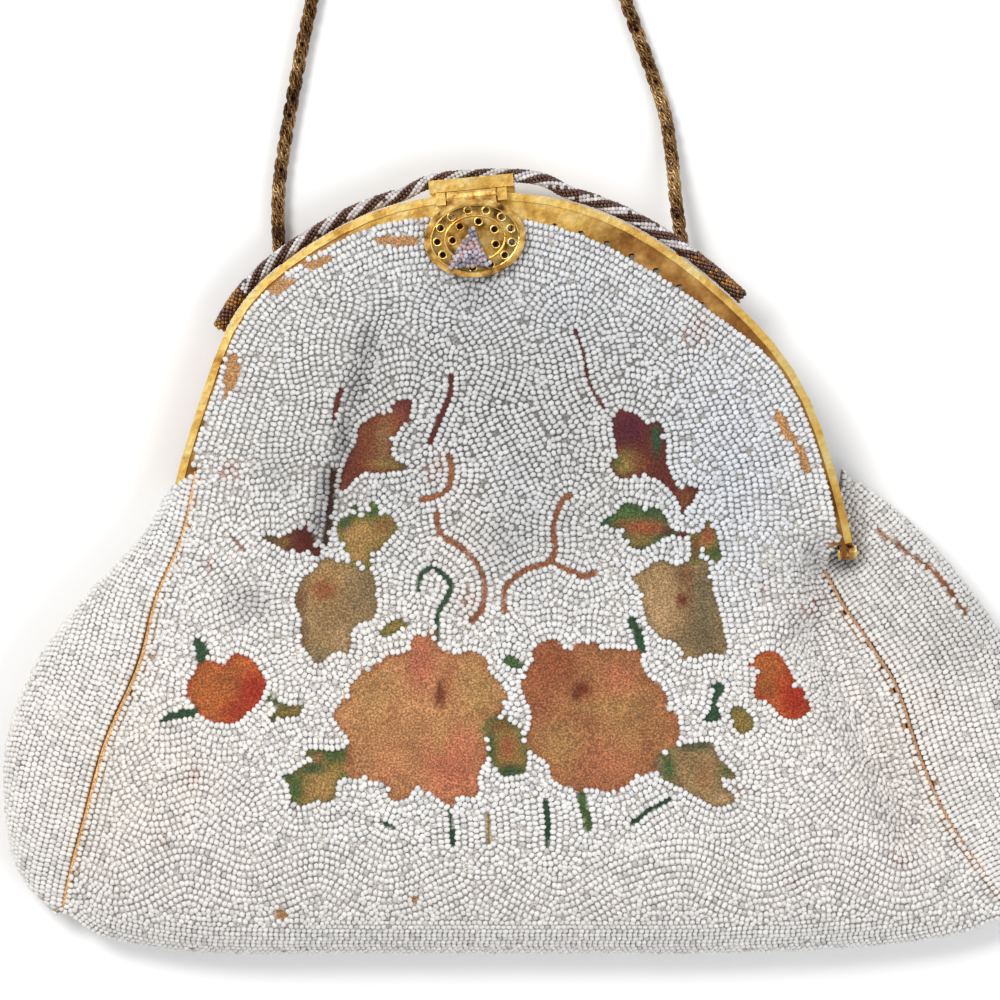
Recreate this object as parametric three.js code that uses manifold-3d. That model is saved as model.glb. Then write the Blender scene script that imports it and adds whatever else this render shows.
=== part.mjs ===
// Beaded frame purse lying on its back: silk panels, gilt arched frame, oval clasp, bead trim, chain handle.
// Millimetres, +Z up; seen from above, X runs to the right and Y to the handle. The origin is under the back.
import * as THREE from 'three';
import { mergeVertices } from 'three/addons/utils/BufferGeometryUtils.js';
import Module from 'manifold-3d';

const wasm = await Module();
wasm.setup();

// Driving dimensions
const GAP = 0.3; // clearance between neighbouring pieces
const WALL = 1.6; // silk with its layer of beads
const MERGE = 1e-4; // points closer than this are one point

// The frame's two arms share one superellipse arch; heights are distances from the frame's middle plane
const ARCH = { halfWidth: 73.4, height: 86, widthPower: 2.4, heightPower: 1.6, fromDeg: 6, steps: 36 };
// The frame is a little out of true: where it is bent, how far outwards and over what angle
const BENDS = [
  { middleDeg: 66, out: -2.4, halfDeg: 25.6 },
  { middleDeg: 127.4, out: 2.5, halfDeg: 11.4 },
  { middleDeg: 33, out: 1.8, halfDeg: 13 },
];
const FRAME_PLACE = { x: 0.5, y: 9, z: 10.6, pitchDeg: -1.5, rollDeg: -3, turnDeg: 5 };
const RIM = { thick: 1.6, low: 0.2, high: 3.4 };
const FLANGE = { endWidth: 3.1, topWidth: 7, low: 2.2, high: 3, taper: 1.5 };
const SEWING_HOLES = { radius: 0.8, sides: 6, spacing: 6.4, firstDeg: 24, lastDeg: 156, across: 0.62 };
const LUG = { radius: 1.6, thick: 1.1, axisY: 3.1, hole: 1.05 };
const LUG_NECK = { frontX: 70.6, frontTop: 10.1, backX: 72, backTop: 7.7 };
const RIVET = { radius: 0.75, headRadius: 1.5, headThick: 0.45 };
const ROUND_SIDES = 10;

// Catch plate on the back arm, standing just outside the front rim
const CATCH = { width: 17.8, footY: 83.9, fromY: 85.85, reach: 2.6, web: 0.7 };
const CATCH_HEIGHTS = { footLow: -3, plateLow: 2, plateHigh: 3.2 };

// Clasp: an oval plaque that hangs from a barrel on the top of the front rim
const PLAQUE = { halfWidth: 10.7, halfHeight: 8.2, centreY: 75.3, low: 5.4, thick: 0.8 };
const PLAQUE_RIM = { width: 1.2, height: 1.5 };
const PLAQUE_STEPS = 32;
const PLAQUE_HOLES = [
  { ring: 0.74, count: 13, radius: 0.7 },
  { ring: 0.44, count: 7, radius: 0.7 },
];
const BARREL = { radius: 1.45, bore: 0.8, length: 10.3, axisY: 84.2, axisZ: 4.4 };
const STRAP = { length: 2.8, low: 5, high: 5.8 };
const EAR = { thick: 2, halfDepth: 1.3, low: 2.4, high: 5.7 };
const CLASP_PIN = { radius: 0.5, endMargin: 0.2 };
const NOTCH = { low: 2.5, fromY: 83 };
const CLUSTER = { apexX: -0.4, apexY: 77, leftX: -5, rightX: 2.4, baseY: 70, body: 0.6, edge: 0.6 };

// Twisted bead trim along the top of the back arm; it bows out round the catch plate
const TRIM = { radius: 1.6, height: 0.1, fromDeg: 46.5, toDeg: 131.8, steps: 22, sides: 8 };
const TRIM_BOW = { middleDeg: 88, out: 2.3, halfDeg: 11, power: 4 };

// Rope-chain handle: it leaves the back arm at two places and lies on the surface in a plain arch
const CHAIN = { radius: 1.45, sides: 8, steps: 60, rest: 1.62 };
const CHAIN_EXIT = { height: -3.4, leftDeg: 119.3, rightDeg: 57.7 };
const CHAIN_ROUTE = [
  { x: -48.0, y: 92.4, lift: 0.5 },
  { x: -46.9, y: 102.9, lift: 0 },
  { x: -43.2, y: 123.9, lift: 0 },
  { x: -41.0, y: 134.4, lift: 0 },
  { x: -38.5, y: 147.0, lift: 0 },
  { x: -35.1, y: 159.6, lift: 0 },
  { x: -28.4, y: 170.5, lift: 0 },
  { x: -19.5, y: 178.1, lift: 0 },
  { x: -9.5, y: 180.2, lift: 0 },
  { x: 0.6, y: 177.0, lift: 0 },
  { x: 9.5, y: 169.1, lift: 0 },
  { x: 16.4, y: 157.9, lift: 0 },
  { x: 21.6, y: 146.0, lift: 0 },
  { x: 25.8, y: 134.4, lift: 0 },
  { x: 33.2, y: 113.4, lift: 0 },
  { x: 35.1, y: 102.9, lift: 1.2 },
  { x: 36.1, y: 92.4, lift: 3.6 },
];

// Side seams from the bottom corner to the frame: front seam, widest point of the gusset and back seam
const LEFT_SIDE = [
  { frontX: -93.2, frontY: -57.4, frontZ: 8, wideX: -95, wideY: -58.2, backX: -93.2, backY: -57.4, backZ: 5 },
  { frontX: -91.3, frontY: -50, frontZ: 12.5, wideX: -102, wideY: -50, backX: -94.5, backY: -50, backZ: 2 },
  { frontX: -87.7, frontY: -38, frontZ: 17.5, wideX: -105.2, wideY: -38, backX: -95, backY: -38, backZ: 0.8 },
  { frontX: -82.8, frontY: -21, frontZ: 20, wideX: -104.8, wideY: -21, backX: -94, backY: -21, backZ: 0.6 },
  { frontX: -76, frontY: -5, frontZ: 19.5, wideX: -99, wideY: -5.5, backX: -90, backY: -6, backZ: 0.6 },
  { frontX: -72.6, frontY: 9, frontZ: 17, wideX: -88.8, wideY: 9, backX: -82, backY: 8, backZ: 0.6 },
  { frontX: -67.5, frontY: 22, frontZ: 14.5, wideX: -77, wideY: 21.5, backX: -72.5, backY: 21, backZ: 0.4 },
  { frontX: -64.8, frontY: 35.5, frontZ: 12.8, wideX: -72.6, wideY: 33.5, backX: -67.5, backY: 33, backZ: 0.4 },
];
const RIGHT_SIDE = [
  { frontX: 107.5, frontY: -57.3, frontZ: 8, wideX: 109.4, wideY: -57.8, backX: 107.5, backY: -57.3, backZ: 5 },
  { frontX: 99.5, frontY: -47.5, frontZ: 12, wideX: 112.6, wideY: -48, backX: 104.5, backY: -47, backZ: 1.8 },
  { frontX: 91.5, frontY: -36, frontZ: 15, wideX: 113.6, wideY: -32, backX: 103, backY: -31, backZ: 0.8 },
  { frontX: 86.3, frontY: -24.6, frontZ: 17, wideX: 112, wideY: -16.5, backX: 101, backY: -18, backZ: 0.6 },
  { frontX: 81.5, frontY: -10, frontZ: 17, wideX: 105.5, wideY: -0.5, backX: 95, backY: -5, backZ: 0.6 },
  { frontX: 76, frontY: -1, frontZ: 15.9, wideX: 96, wideY: 13, backX: 86, backY: 4, backZ: 0.8 },
  { frontX: 71, frontY: 6.5, frontZ: 16.8, wideX: 85.5, wideY: 25, backX: 77.5, backY: 11, backZ: 1.6 },
  { frontX: 67, frontY: 14.6, frontZ: 17.6, wideX: 71.4, wideY: 36, backX: 70.2, backY: 19.2, backZ: 3.5 },
];

// Bottom fold between the two corners
const BOTTOM = [
  { x: -93.2, y: -57.4 },
  { x: -83.4, y: -63.2 },
  { x: -62, y: -66.3 },
  { x: -30, y: -66.4 },
  { x: 8, y: -66.4 },
  { x: 46, y: -66.3 },
  { x: 76, y: -65 },
  { x: 96, y: -62.2 },
  { x: 107.5, y: -57.3 },
];
const BOTTOM_EDGE = { height: 6.5, cornerSplit: 1.35, cornerShare: 0.08 };

// How far the cloth's edge stays back from the rim and off the flange, from the right hinge to the left one
const CLOTH_EDGE = [
  { deg: 0, inset: 3.3, lift: 2.8 },
  { deg: 20, inset: 1.2, lift: 0.8 },
  { deg: 36, inset: 1, lift: 0.3 },
  { deg: 48, inset: 3, lift: 0 },
  { deg: 62, inset: 4.3, lift: 0 },
  { deg: 78, inset: 4, lift: 0 },
  { deg: 90, inset: 3.2, lift: 0 },
  { deg: 104, inset: 2.6, lift: 0 },
  { deg: 120, inset: 1.2, lift: 0 },
  { deg: 140, inset: 0.8, lift: 0 },
  { deg: 180, inset: 0.8, lift: 0 },
];

// Panels: strips along the seam, along the arch's ends and across, and where the arch follows on the seam
const STRIPS = { seam: 14, archEnd: 6, across: 26, gusset: 7 };
const ARCH_END_SPREAD = 1.5;
const SEAM_SHARE = 0.72;
const SEAM_SPREAD = 1.3;
const FRONT_ARCH = { leftDeg: 151, leftCornerDeg: 134, rightCornerDeg: 40, rightDeg: 7 };
const BACK_ARCH = { leftDeg: 151, leftCornerDeg: 134, rightCornerDeg: 40, rightDeg: 8 };
const CROWN = { height: 14, flatness: 2.6, rollShare: 0.2, fall: 1.8 };
const BACK_SAG = { depth: 18, flatness: 4, rollShare: 0.08, fall: 5 };
const SEAM_LEAN = 0.8; // how far a seam's joint face leans outwards
const EDGE_BAND = 2.5; // strips over which a wall turns to the joint face
const FOLD_HOLD = 12; // how quickly folds fade in from the sewn edges

// The cloth dips under the right hinge
const HINGE_DENT = { fromX: 67, fromY: 14.6, toX: 71.5, toY: 13, width: 5.8, height: -8.2 };

// Folds and dents of the front, as soft ridges (positive) and valleys (negative) along straight lines
const FRONT_FOLDS = [
  { fromX: -33, fromY: 70, toX: -42, toY: 22, width: 6, height: 2.2 },
  { fromX: -26.5, fromY: 71, toX: -33.5, toY: 24, width: 4.5, height: -2.4 },
  { fromX: 67, fromY: -5, toX: 83, toY: -38, width: 6, height: -3.6 },
  { fromX: 14.7, fromY: 65, toX: 18, toY: 50, width: 4, height: -1.2 },
  { fromX: -9, fromY: 85, toX: -5, toY: 72, width: 13, height: -2.6 },
  { fromX: -64, fromY: -30, toX: -52, toY: -58, width: 7, height: -1.4 },
  { fromX: 48, fromY: -44, toX: 51, toY: -64, width: 5, height: -1.6 },
];

// Solids
function closed(geometry) {
  geometry.deleteAttribute('normal');
  geometry.deleteAttribute('uv');
  return mergeVertices(geometry, MERGE);
}

function solid(geometry) {
  const merged = closed(geometry);
  const mesh = new wasm.Mesh({
    numProp: 3,
    vertProperties: new Float32Array(merged.attributes.position.array),
    triVerts: new Uint32Array(merged.index.array),
  });
  return new wasm.Manifold(mesh);
}

function toGeometry(manifold) {
  const mesh = manifold.getMesh();
  const geometry = new THREE.BufferGeometry();
  geometry.setAttribute('position', new THREE.BufferAttribute(mesh.vertProperties, 3));
  geometry.setIndex(new THREE.BufferAttribute(mesh.triVerts, 1));
  return geometry;
}

function joined(solids) {
  return solids.reduce((sum, next) => sum.add(next));
}

function slab(shape, low, high) {
  const geometry = new THREE.ExtrudeGeometry(shape, { depth: high - low, bevelEnabled: false, steps: 1 });
  return solid(geometry.translate(0, 0, low));
}

function block(x0, x1, y0, y1, z0, z1) {
  const geometry = new THREE.BoxGeometry(x1 - x0, y1 - y0, z1 - z0);
  return solid(geometry.translate((x0 + x1) / 2, (y0 + y1) / 2, (z0 + z1) / 2));
}

function rod(radius, x0, x1, y, z) {
  const geometry = new THREE.CylinderGeometry(radius, radius, x1 - x0, ROUND_SIDES);
  return solid(geometry.rotateZ(Math.PI / 2).translate((x0 + x1) / 2, y, z));
}

function polygonPath(PathClass, x, y, radius, sides) {
  const points = [];
  for (let k = 0; k < sides; k += 1) {
    const angle = (2 * Math.PI * k) / sides;
    points.push(new THREE.Vector2(x + radius * Math.cos(angle), y + radius * Math.sin(angle)));
  }
  return new PathClass(points);
}

function tube(points, radius, sides, steps) {
  const section = polygonPath(THREE.Shape, 0, 0, radius, sides);
  const path = new THREE.CatmullRomCurve3(points);
  return closed(new THREE.ExtrudeGeometry(section, { steps, extrudePath: path, bevelEnabled: false }));
}

// Tables: a smooth value of every column, at a share of the way through the rows
function alongTable(rows, share) {
  const place = THREE.MathUtils.clamp(share, 0, 1) * (rows.length - 1);
  const index = Math.min(Math.floor(place), rows.length - 2);
  const t = place - index;
  const before = rows[Math.max(index - 1, 0)];
  const after = rows[Math.min(index + 2, rows.length - 1)];
  const row = {};
  for (const name of Object.keys(rows[0])) {
    const a = rows[index][name];
    const b = rows[index + 1][name];
    const slopeA = (b - before[name]) / (index > 0 ? 2 : 1);
    const slopeB = (after[name] - a) / (index + 2 < rows.length ? 2 : 1);
    row[name] = a * (1 + 2 * t) * (1 - t) ** 2 + b * t * t * (3 - 2 * t)
      + slopeA * t * (1 - t) ** 2 - slopeB * t * t * (1 - t);
  }
  return row;
}

function clothEdge(deg, column) {
  const next = Math.max(CLOTH_EDGE.findIndex((row) => row.deg >= deg), 1);
  const a = CLOTH_EDGE[next - 1];
  const b = CLOTH_EDGE[next];
  return THREE.MathUtils.mapLinear(deg, a.deg, b.deg, a[column], b[column]);
}

// Frame arch: angle 0 is the right hinge, 90 the top and 180 the left hinge; the inset is measured inwards
function trueArch(deg) {
  const angle = THREE.MathUtils.degToRad(deg);
  const across = Math.cos(angle);
  const up = Math.max(Math.sin(angle), 0);
  const x = ARCH.halfWidth * Math.sign(across) * Math.abs(across) ** (2 / ARCH.widthPower);
  return new THREE.Vector2(x, ARCH.height * up ** (2 / ARCH.heightPower));
}

function outwards(curve, deg) {
  const probe = 0.5;
  const along = curve(Math.min(deg + probe, 180)).sub(curve(Math.max(deg - probe, 0))).normalize();
  return new THREE.Vector2(along.y, -along.x);
}

function archOutline(deg) {
  const outline = trueArch(deg);
  const normal = outwards(trueArch, deg);
  for (const { middleDeg, out, halfDeg } of BENDS) {
    outline.addScaledVector(normal, out * Math.exp(-(((deg - middleDeg) / halfDeg) ** 2)));
  }
  return outline;
}

function archPoint(deg, inset) {
  return archOutline(deg).addScaledVector(outwards(archOutline, deg), -inset);
}

function flangeWidth(deg) {
  const rise = Math.max(Math.sin(THREE.MathUtils.degToRad(deg)), 0) ** FLANGE.taper;
  return FLANGE.endWidth + (FLANGE.topWidth - FLANGE.endWidth) * rise;
}

function archBand(outerInset, innerInset) {
  const outer = [];
  const inner = [];
  for (let k = 0; k <= ARCH.steps; k += 1) {
    const deg = THREE.MathUtils.lerp(ARCH.fromDeg, 180 - ARCH.fromDeg, k / ARCH.steps);
    outer.push(archPoint(deg, outerInset(deg)));
    inner.unshift(archPoint(deg, innerInset(deg)));
  }
  return new THREE.Shape([...outer, ...inner]);
}

function sewingHoles() {
  const holes = [];
  let deg = SEWING_HOLES.firstDeg;
  while (deg < SEWING_HOLES.lastDeg) {
    const centre = archPoint(deg, RIM.thick + flangeWidth(deg) * SEWING_HOLES.across);
    holes.push(polygonPath(THREE.Path, centre.x, centre.y, SEWING_HOLES.radius, SEWING_HOLES.sides));
    deg += SEWING_HOLES.spacing / archOutline(deg).distanceTo(archOutline(deg + 1));
  }
  return holes;
}

function hingeLugs(lugX, neckTop) {
  const lugs = [];
  for (const side of [-1, 1]) {
    const x0 = side > 0 ? lugX : -lugX - LUG.thick;
    lugs.push(rod(LUG.radius, x0, x0 + LUG.thick, LUG.axisY, 0));
    lugs.push(block(x0, x0 + LUG.thick, LUG.axisY, neckTop, RIM.low, FLANGE.high));
  }
  return lugs;
}

function arm(lugX, neckTop) {
  const flange = archBand(() => RIM.thick / 2, (deg) => RIM.thick + flangeWidth(deg));
  flange.holes = sewingHoles();
  const rim = archBand(() => 0, () => RIM.thick);
  const plain = joined([
    slab(rim, RIM.low, RIM.high),
    slab(flange, FLANGE.low, FLANGE.high),
    ...hingeLugs(lugX, neckTop),
  ]);
  return plain.subtract(rod(LUG.hole, -ARCH.halfWidth * 2, ARCH.halfWidth * 2, LUG.axisY, 0));
}

function frontArm() {
  const inside = BARREL.length / 2 + GAP;
  const ears = [-1, 1].map((side) => {
    const x0 = side > 0 ? inside : -inside - EAR.thick;
    const y0 = BARREL.axisY - EAR.halfDepth;
    return block(x0, x0 + EAR.thick, y0, BARREL.axisY + EAR.halfDepth, EAR.low, EAR.high);
  });
  const notch = block(-inside, inside, NOTCH.fromY, ARCH.height + GAP, NOTCH.low, EAR.high);
  const pinHole = rod(BARREL.bore, -ARCH.halfWidth, ARCH.halfWidth, BARREL.axisY, BARREL.axisZ);
  const withEars = joined([arm(LUG_NECK.frontX, LUG_NECK.frontTop).subtract(notch), ...ears]);
  return toGeometry(withEars.subtract(pinHole));
}

function backArm() {
  const half = CATCH.width / 2;
  const webTop = CATCH.fromY + CATCH.web;
  const plateTop = CATCH.fromY + CATCH.reach;
  const { footLow, plateLow, plateHigh } = CATCH_HEIGHTS;
  const foot = block(-half, half, CATCH.footY, webTop, footLow, -RIM.low - GAP);
  const web = block(-half, half, CATCH.fromY, webTop, footLow, plateHigh);
  const plate = block(-half, half, CATCH.fromY, plateTop, plateLow, plateHigh);
  const turned = arm(LUG_NECK.backX, LUG_NECK.backTop).mirror([0, 0, 1]);
  return toGeometry(joined([turned, foot, web, plate]));
}

function rivet(side) {
  const inner = LUG_NECK.frontX - GAP - RIVET.headThick;
  const outer = LUG_NECK.backX + LUG.thick + GAP + RIVET.headThick;
  const profile = [
    [0, inner],
    [RIVET.headRadius, inner],
    [RIVET.headRadius, inner + RIVET.headThick],
    [RIVET.radius, inner + RIVET.headThick],
    [RIVET.radius, outer - RIVET.headThick],
    [RIVET.headRadius, outer - RIVET.headThick],
    [RIVET.headRadius, outer],
    [0, outer],
  ].map(([radius, along]) => new THREE.Vector2(radius, along));
  const geometry = closed(new THREE.LatheGeometry(profile, ROUND_SIDES));
  return geometry.rotateZ(-side * Math.PI / 2).translate(0, LUG.axisY, 0);
}

// Clasp
function ovalPath(PathClass, scaleX, scaleY) {
  const points = [];
  for (let k = 0; k < PLAQUE_STEPS; k += 1) {
    const angle = (2 * Math.PI * k) / PLAQUE_STEPS;
    points.push(new THREE.Vector2(scaleX * Math.cos(angle), PLAQUE.centreY + scaleY * Math.sin(angle)));
  }
  return new PathClass(points);
}

function plaque() {
  const plate = ovalPath(THREE.Shape, PLAQUE.halfWidth, PLAQUE.halfHeight);
  for (const { ring, count, radius } of PLAQUE_HOLES) {
    for (let k = 0; k < count; k += 1) {
      const angle = (2 * Math.PI * (k + 0.5)) / count;
      const x = ring * PLAQUE.halfWidth * Math.cos(angle);
      const y = PLAQUE.centreY + ring * PLAQUE.halfHeight * Math.sin(angle);
      plate.holes.push(polygonPath(THREE.Path, x, y, radius, SEWING_HOLES.sides));
    }
  }
  const rim = ovalPath(THREE.Shape, PLAQUE.halfWidth, PLAQUE.halfHeight);
  const inside = [PLAQUE.halfWidth - PLAQUE_RIM.width, PLAQUE.halfHeight - PLAQUE_RIM.width];
  rim.holes.push(ovalPath(THREE.Path, ...inside));
  const half = BARREL.length / 2;
  const whole = joined([
    slab(plate, PLAQUE.low, PLAQUE.low + PLAQUE.thick),
    slab(rim, PLAQUE.low, PLAQUE.low + PLAQUE_RIM.height),
    rod(BARREL.radius, -half, half, BARREL.axisY, BARREL.axisZ),
    block(-half, half, BARREL.axisY - STRAP.length, BARREL.axisY, STRAP.low, STRAP.high),
  ]);
  return toGeometry(whole.subtract(rod(BARREL.bore, -2 * half, 2 * half, BARREL.axisY, BARREL.axisZ)));
}

function claspPin() {
  const half = BARREL.length / 2 + GAP + EAR.thick - CLASP_PIN.endMargin;
  return toGeometry(rod(CLASP_PIN.radius, -half, half, BARREL.axisY, BARREL.axisZ));
}

function beadCluster() {
  const shape = new THREE.Shape();
  shape.moveTo(CLUSTER.apexX, CLUSTER.apexY);
  shape.lineTo(CLUSTER.leftX, CLUSTER.baseY);
  shape.lineTo(CLUSTER.rightX, CLUSTER.baseY);
  const soft = { bevelThickness: CLUSTER.edge, bevelSize: CLUSTER.edge, bevelSegments: 2 };
  const geometry = closed(new THREE.ExtrudeGeometry(shape, { depth: CLUSTER.body, steps: 1, ...soft }));
  return geometry.translate(0, 0, PLAQUE.low + PLAQUE.thick + GAP + CLUSTER.edge);
}

// Trim and handle
function trim() {
  const points = [];
  for (let k = 0; k <= TRIM.steps; k += 1) {
    const deg = THREE.MathUtils.lerp(TRIM.fromDeg, TRIM.toDeg, k / TRIM.steps);
    const bow = TRIM_BOW.out * Math.exp(-(((deg - TRIM_BOW.middleDeg) / TRIM_BOW.halfDeg) ** TRIM_BOW.power));
    const place = archPoint(deg, -(TRIM.radius + GAP + bow));
    points.push(new THREE.Vector3(place.x, place.y, TRIM.height));
  }
  return tube(points, TRIM.radius, TRIM.sides, TRIM.steps);
}

function chain(placeInFrame) {
  const [left, right] = [CHAIN_EXIT.leftDeg, CHAIN_EXIT.rightDeg].map((deg) => {
    const exit = archPoint(deg, -2 * GAP - CHAIN.radius / 2);
    return placeInFrame(exit.x, exit.y, CHAIN_EXIT.height);
  });
  const lying = CHAIN_ROUTE.map(({ x, y, lift }) => new THREE.Vector3(x, y, CHAIN.rest + lift));
  return tube([left, ...lying, right], CHAIN.radius, CHAIN.sides, CHAIN.steps);
}

// Cloth walls: a grid of outer points becomes a closed wall, thickened inwards along the given directions
function clothWall(outer, inward) {
  const rows = outer.length;
  const columns = outer[0].length;
  const positions = [];
  for (const layer of [0, WALL]) {
    for (let j = 0; j < rows; j += 1) {
      for (let i = 0; i < columns; i += 1) {
        positions.push(...outer[j][i].clone().addScaledVector(inward[j][i], layer).toArray());
      }
    }
  }
  const index = [];
  const at = (layer, j, i) => layer * rows * columns + j * columns + i;
  const face = (a, b, c, d) => index.push(a, b, c, a, c, d);
  for (let j = 0; j + 1 < rows; j += 1) {
    for (let i = 0; i + 1 < columns; i += 1) {
      face(at(0, j, i), at(0, j, i + 1), at(0, j + 1, i + 1), at(0, j + 1, i));
      face(at(1, j, i), at(1, j + 1, i), at(1, j + 1, i + 1), at(1, j, i + 1));
    }
  }
  for (let i = 0; i + 1 < columns; i += 1) {
    face(at(0, 0, i + 1), at(0, 0, i), at(1, 0, i), at(1, 0, i + 1));
    face(at(0, rows - 1, i), at(0, rows - 1, i + 1), at(1, rows - 1, i + 1), at(1, rows - 1, i));
  }
  for (let j = 0; j + 1 < rows; j += 1) {
    face(at(0, j + 1, 0), at(1, j + 1, 0), at(1, j, 0), at(0, j, 0));
    face(at(0, j + 1, columns - 1), at(0, j, columns - 1), at(1, j, columns - 1), at(1, j + 1, columns - 1));
  }
  const geometry = new THREE.BufferGeometry();
  geometry.setAttribute('position', new THREE.Float32BufferAttribute(positions, 3));
  geometry.setIndex(index);
  return geometry;
}

function inwardNormals(grid) {
  return grid.map((row, j) => row.map((point, i) => {
    const last = row.length - 1;
    const along = row[Math.min(i + 1, last)].clone().sub(row[Math.max(i - 1, 0)]);
    const up = grid[Math.min(j + 1, grid.length - 1)][i].clone().sub(grid[Math.max(j - 1, 0)][i]);
    return along.cross(up).normalize().negate();
  }));
}

// The wall turns to its joint faces near the edges; each edge gives a direction for the strip that it crosses
function turnToEdges(grid, edges) {
  const normals = inwardNormals(grid);
  return grid.map((row, j) => row.map((point, i) => {
    const away = { bottom: j, top: grid.length - 1 - j, left: i, right: row.length - 1 - i };
    const direction = new THREE.Vector3();
    let nearest = 0;
    const fromBottom = Math.max(0, 1 - away.bottom / EDGE_BAND);
    for (const [name, directionAt] of Object.entries(edges)) {
      const near = Math.max(0, 1 - away[name] / EDGE_BAND);
      const weight = name === 'bottom' ? near : near * (1 - fromBottom);
      nearest = Math.max(nearest, weight);
      if (weight > 0) {
        direction.addScaledVector(directionAt(j, i), weight);
      }
    }
    return direction.addScaledVector(normals[j][i], 1 - nearest).normalize();
  }));
}

// Sewn edges keep half the gap each
function pullBack(grid, side) {
  const edge = side === 'left' ? 0 : grid[0].length - 1;
  const next = side === 'left' ? 1 : grid[0].length - 2;
  const line = grid.map((row) => row[edge].clone());
  grid.forEach((row, j) => {
    const along = line[Math.min(j + 1, line.length - 1)].clone().sub(line[Math.max(j - 1, 0)]).normalize();
    const step = row[next].clone().sub(row[edge]);
    step.addScaledVector(along, -step.dot(along)).normalize();
    row[edge] = line[j].clone().addScaledVector(step, GAP / 2);
  });
}

function smoothSeam(side, face, share) {
  const row = alongTable(side, share);
  return new THREE.Vector3(row[`${face}X`], row[`${face}Y`], row[`${face}Z`]);
}

function seamPoint(side, face, share) {
  const point = smoothSeam(side, face, share);
  point.z += face === 'front' ? softLine(point, HINGE_DENT) : 0;
  return point;
}

// Joint face of a seam: it leans half-way between the panel and the gusset
function seamInward(side, face, share) {
  const step = 0.02;
  const ahead = seamPoint(side, face, Math.min(share + step, 1));
  const along = ahead.sub(seamPoint(side, face, Math.max(share - step, 0)));
  const outward = new THREE.Vector3(along.y, -along.x, 0).normalize();
  outward.multiplyScalar(side === LEFT_SIDE ? -SEAM_LEAN : SEAM_LEAN);
  outward.z = face === 'front' ? 1 : -1;
  return outward.normalize().negate();
}

function bottomPoint(share, face) {
  const row = alongTable(BOTTOM, share);
  const near = Math.max(0, 1 - Math.min(share, 1 - share) / BOTTOM_EDGE.cornerShare) ** 2;
  const split = GAP / 2 + BOTTOM_EDGE.cornerSplit * near;
  return new THREE.Vector3(row.x, row.y, BOTTOM_EDGE.height + (face === 'front' ? split : -split));
}

function bottomInward(share) {
  const step = 0.01;
  const ahead = bottomPoint(Math.min(share + step, 1), 'front');
  const along = ahead.sub(bottomPoint(Math.max(share - step, 0), 'front'));
  return new THREE.Vector3(-along.y, along.x, 0).normalize();
}

// A four-sided patch between its bottom, top, left and right curves
function patchPoint(curves, u, v, sideAt) {
  const bottom = curves.bottom(u);
  const top = curves.top(u);
  const left = sideAt.left;
  const right = sideAt.right;
  const point = new THREE.Vector3();
  point.addScaledVector(bottom, 1 - v).addScaledVector(top, v);
  point.addScaledVector(left, 1 - u).addScaledVector(right, u);
  point.addScaledVector(curves.bottom(0), -(1 - u) * (1 - v)).addScaledVector(curves.bottom(1), -u * (1 - v));
  return point.addScaledVector(curves.top(0), -(1 - u) * v).addScaledVector(curves.top(1), -u * v);
}

function softLine(point, fold) {
  const from = new THREE.Vector2(fold.fromX, fold.fromY);
  const along = new THREE.Vector2(fold.toX, fold.toY).sub(from);
  const offset = new THREE.Vector2(point.x, point.y).sub(from);
  const share = THREE.MathUtils.clamp(offset.dot(along) / along.lengthSq(), 0, 1);
  const distance = offset.addScaledVector(along, -share).length();
  return fold.height * Math.exp(-((distance / fold.width) ** 2));
}

function swell(shape, u, v) {
  const across = 1 - Math.abs(2 * u - 1) ** shape.flatness;
  const rollAway = 1 - Math.min(v / shape.rollShare, 1);
  return across * Math.sqrt(1 - rollAway ** 2) * (1 - v ** shape.fall);
}

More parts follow.
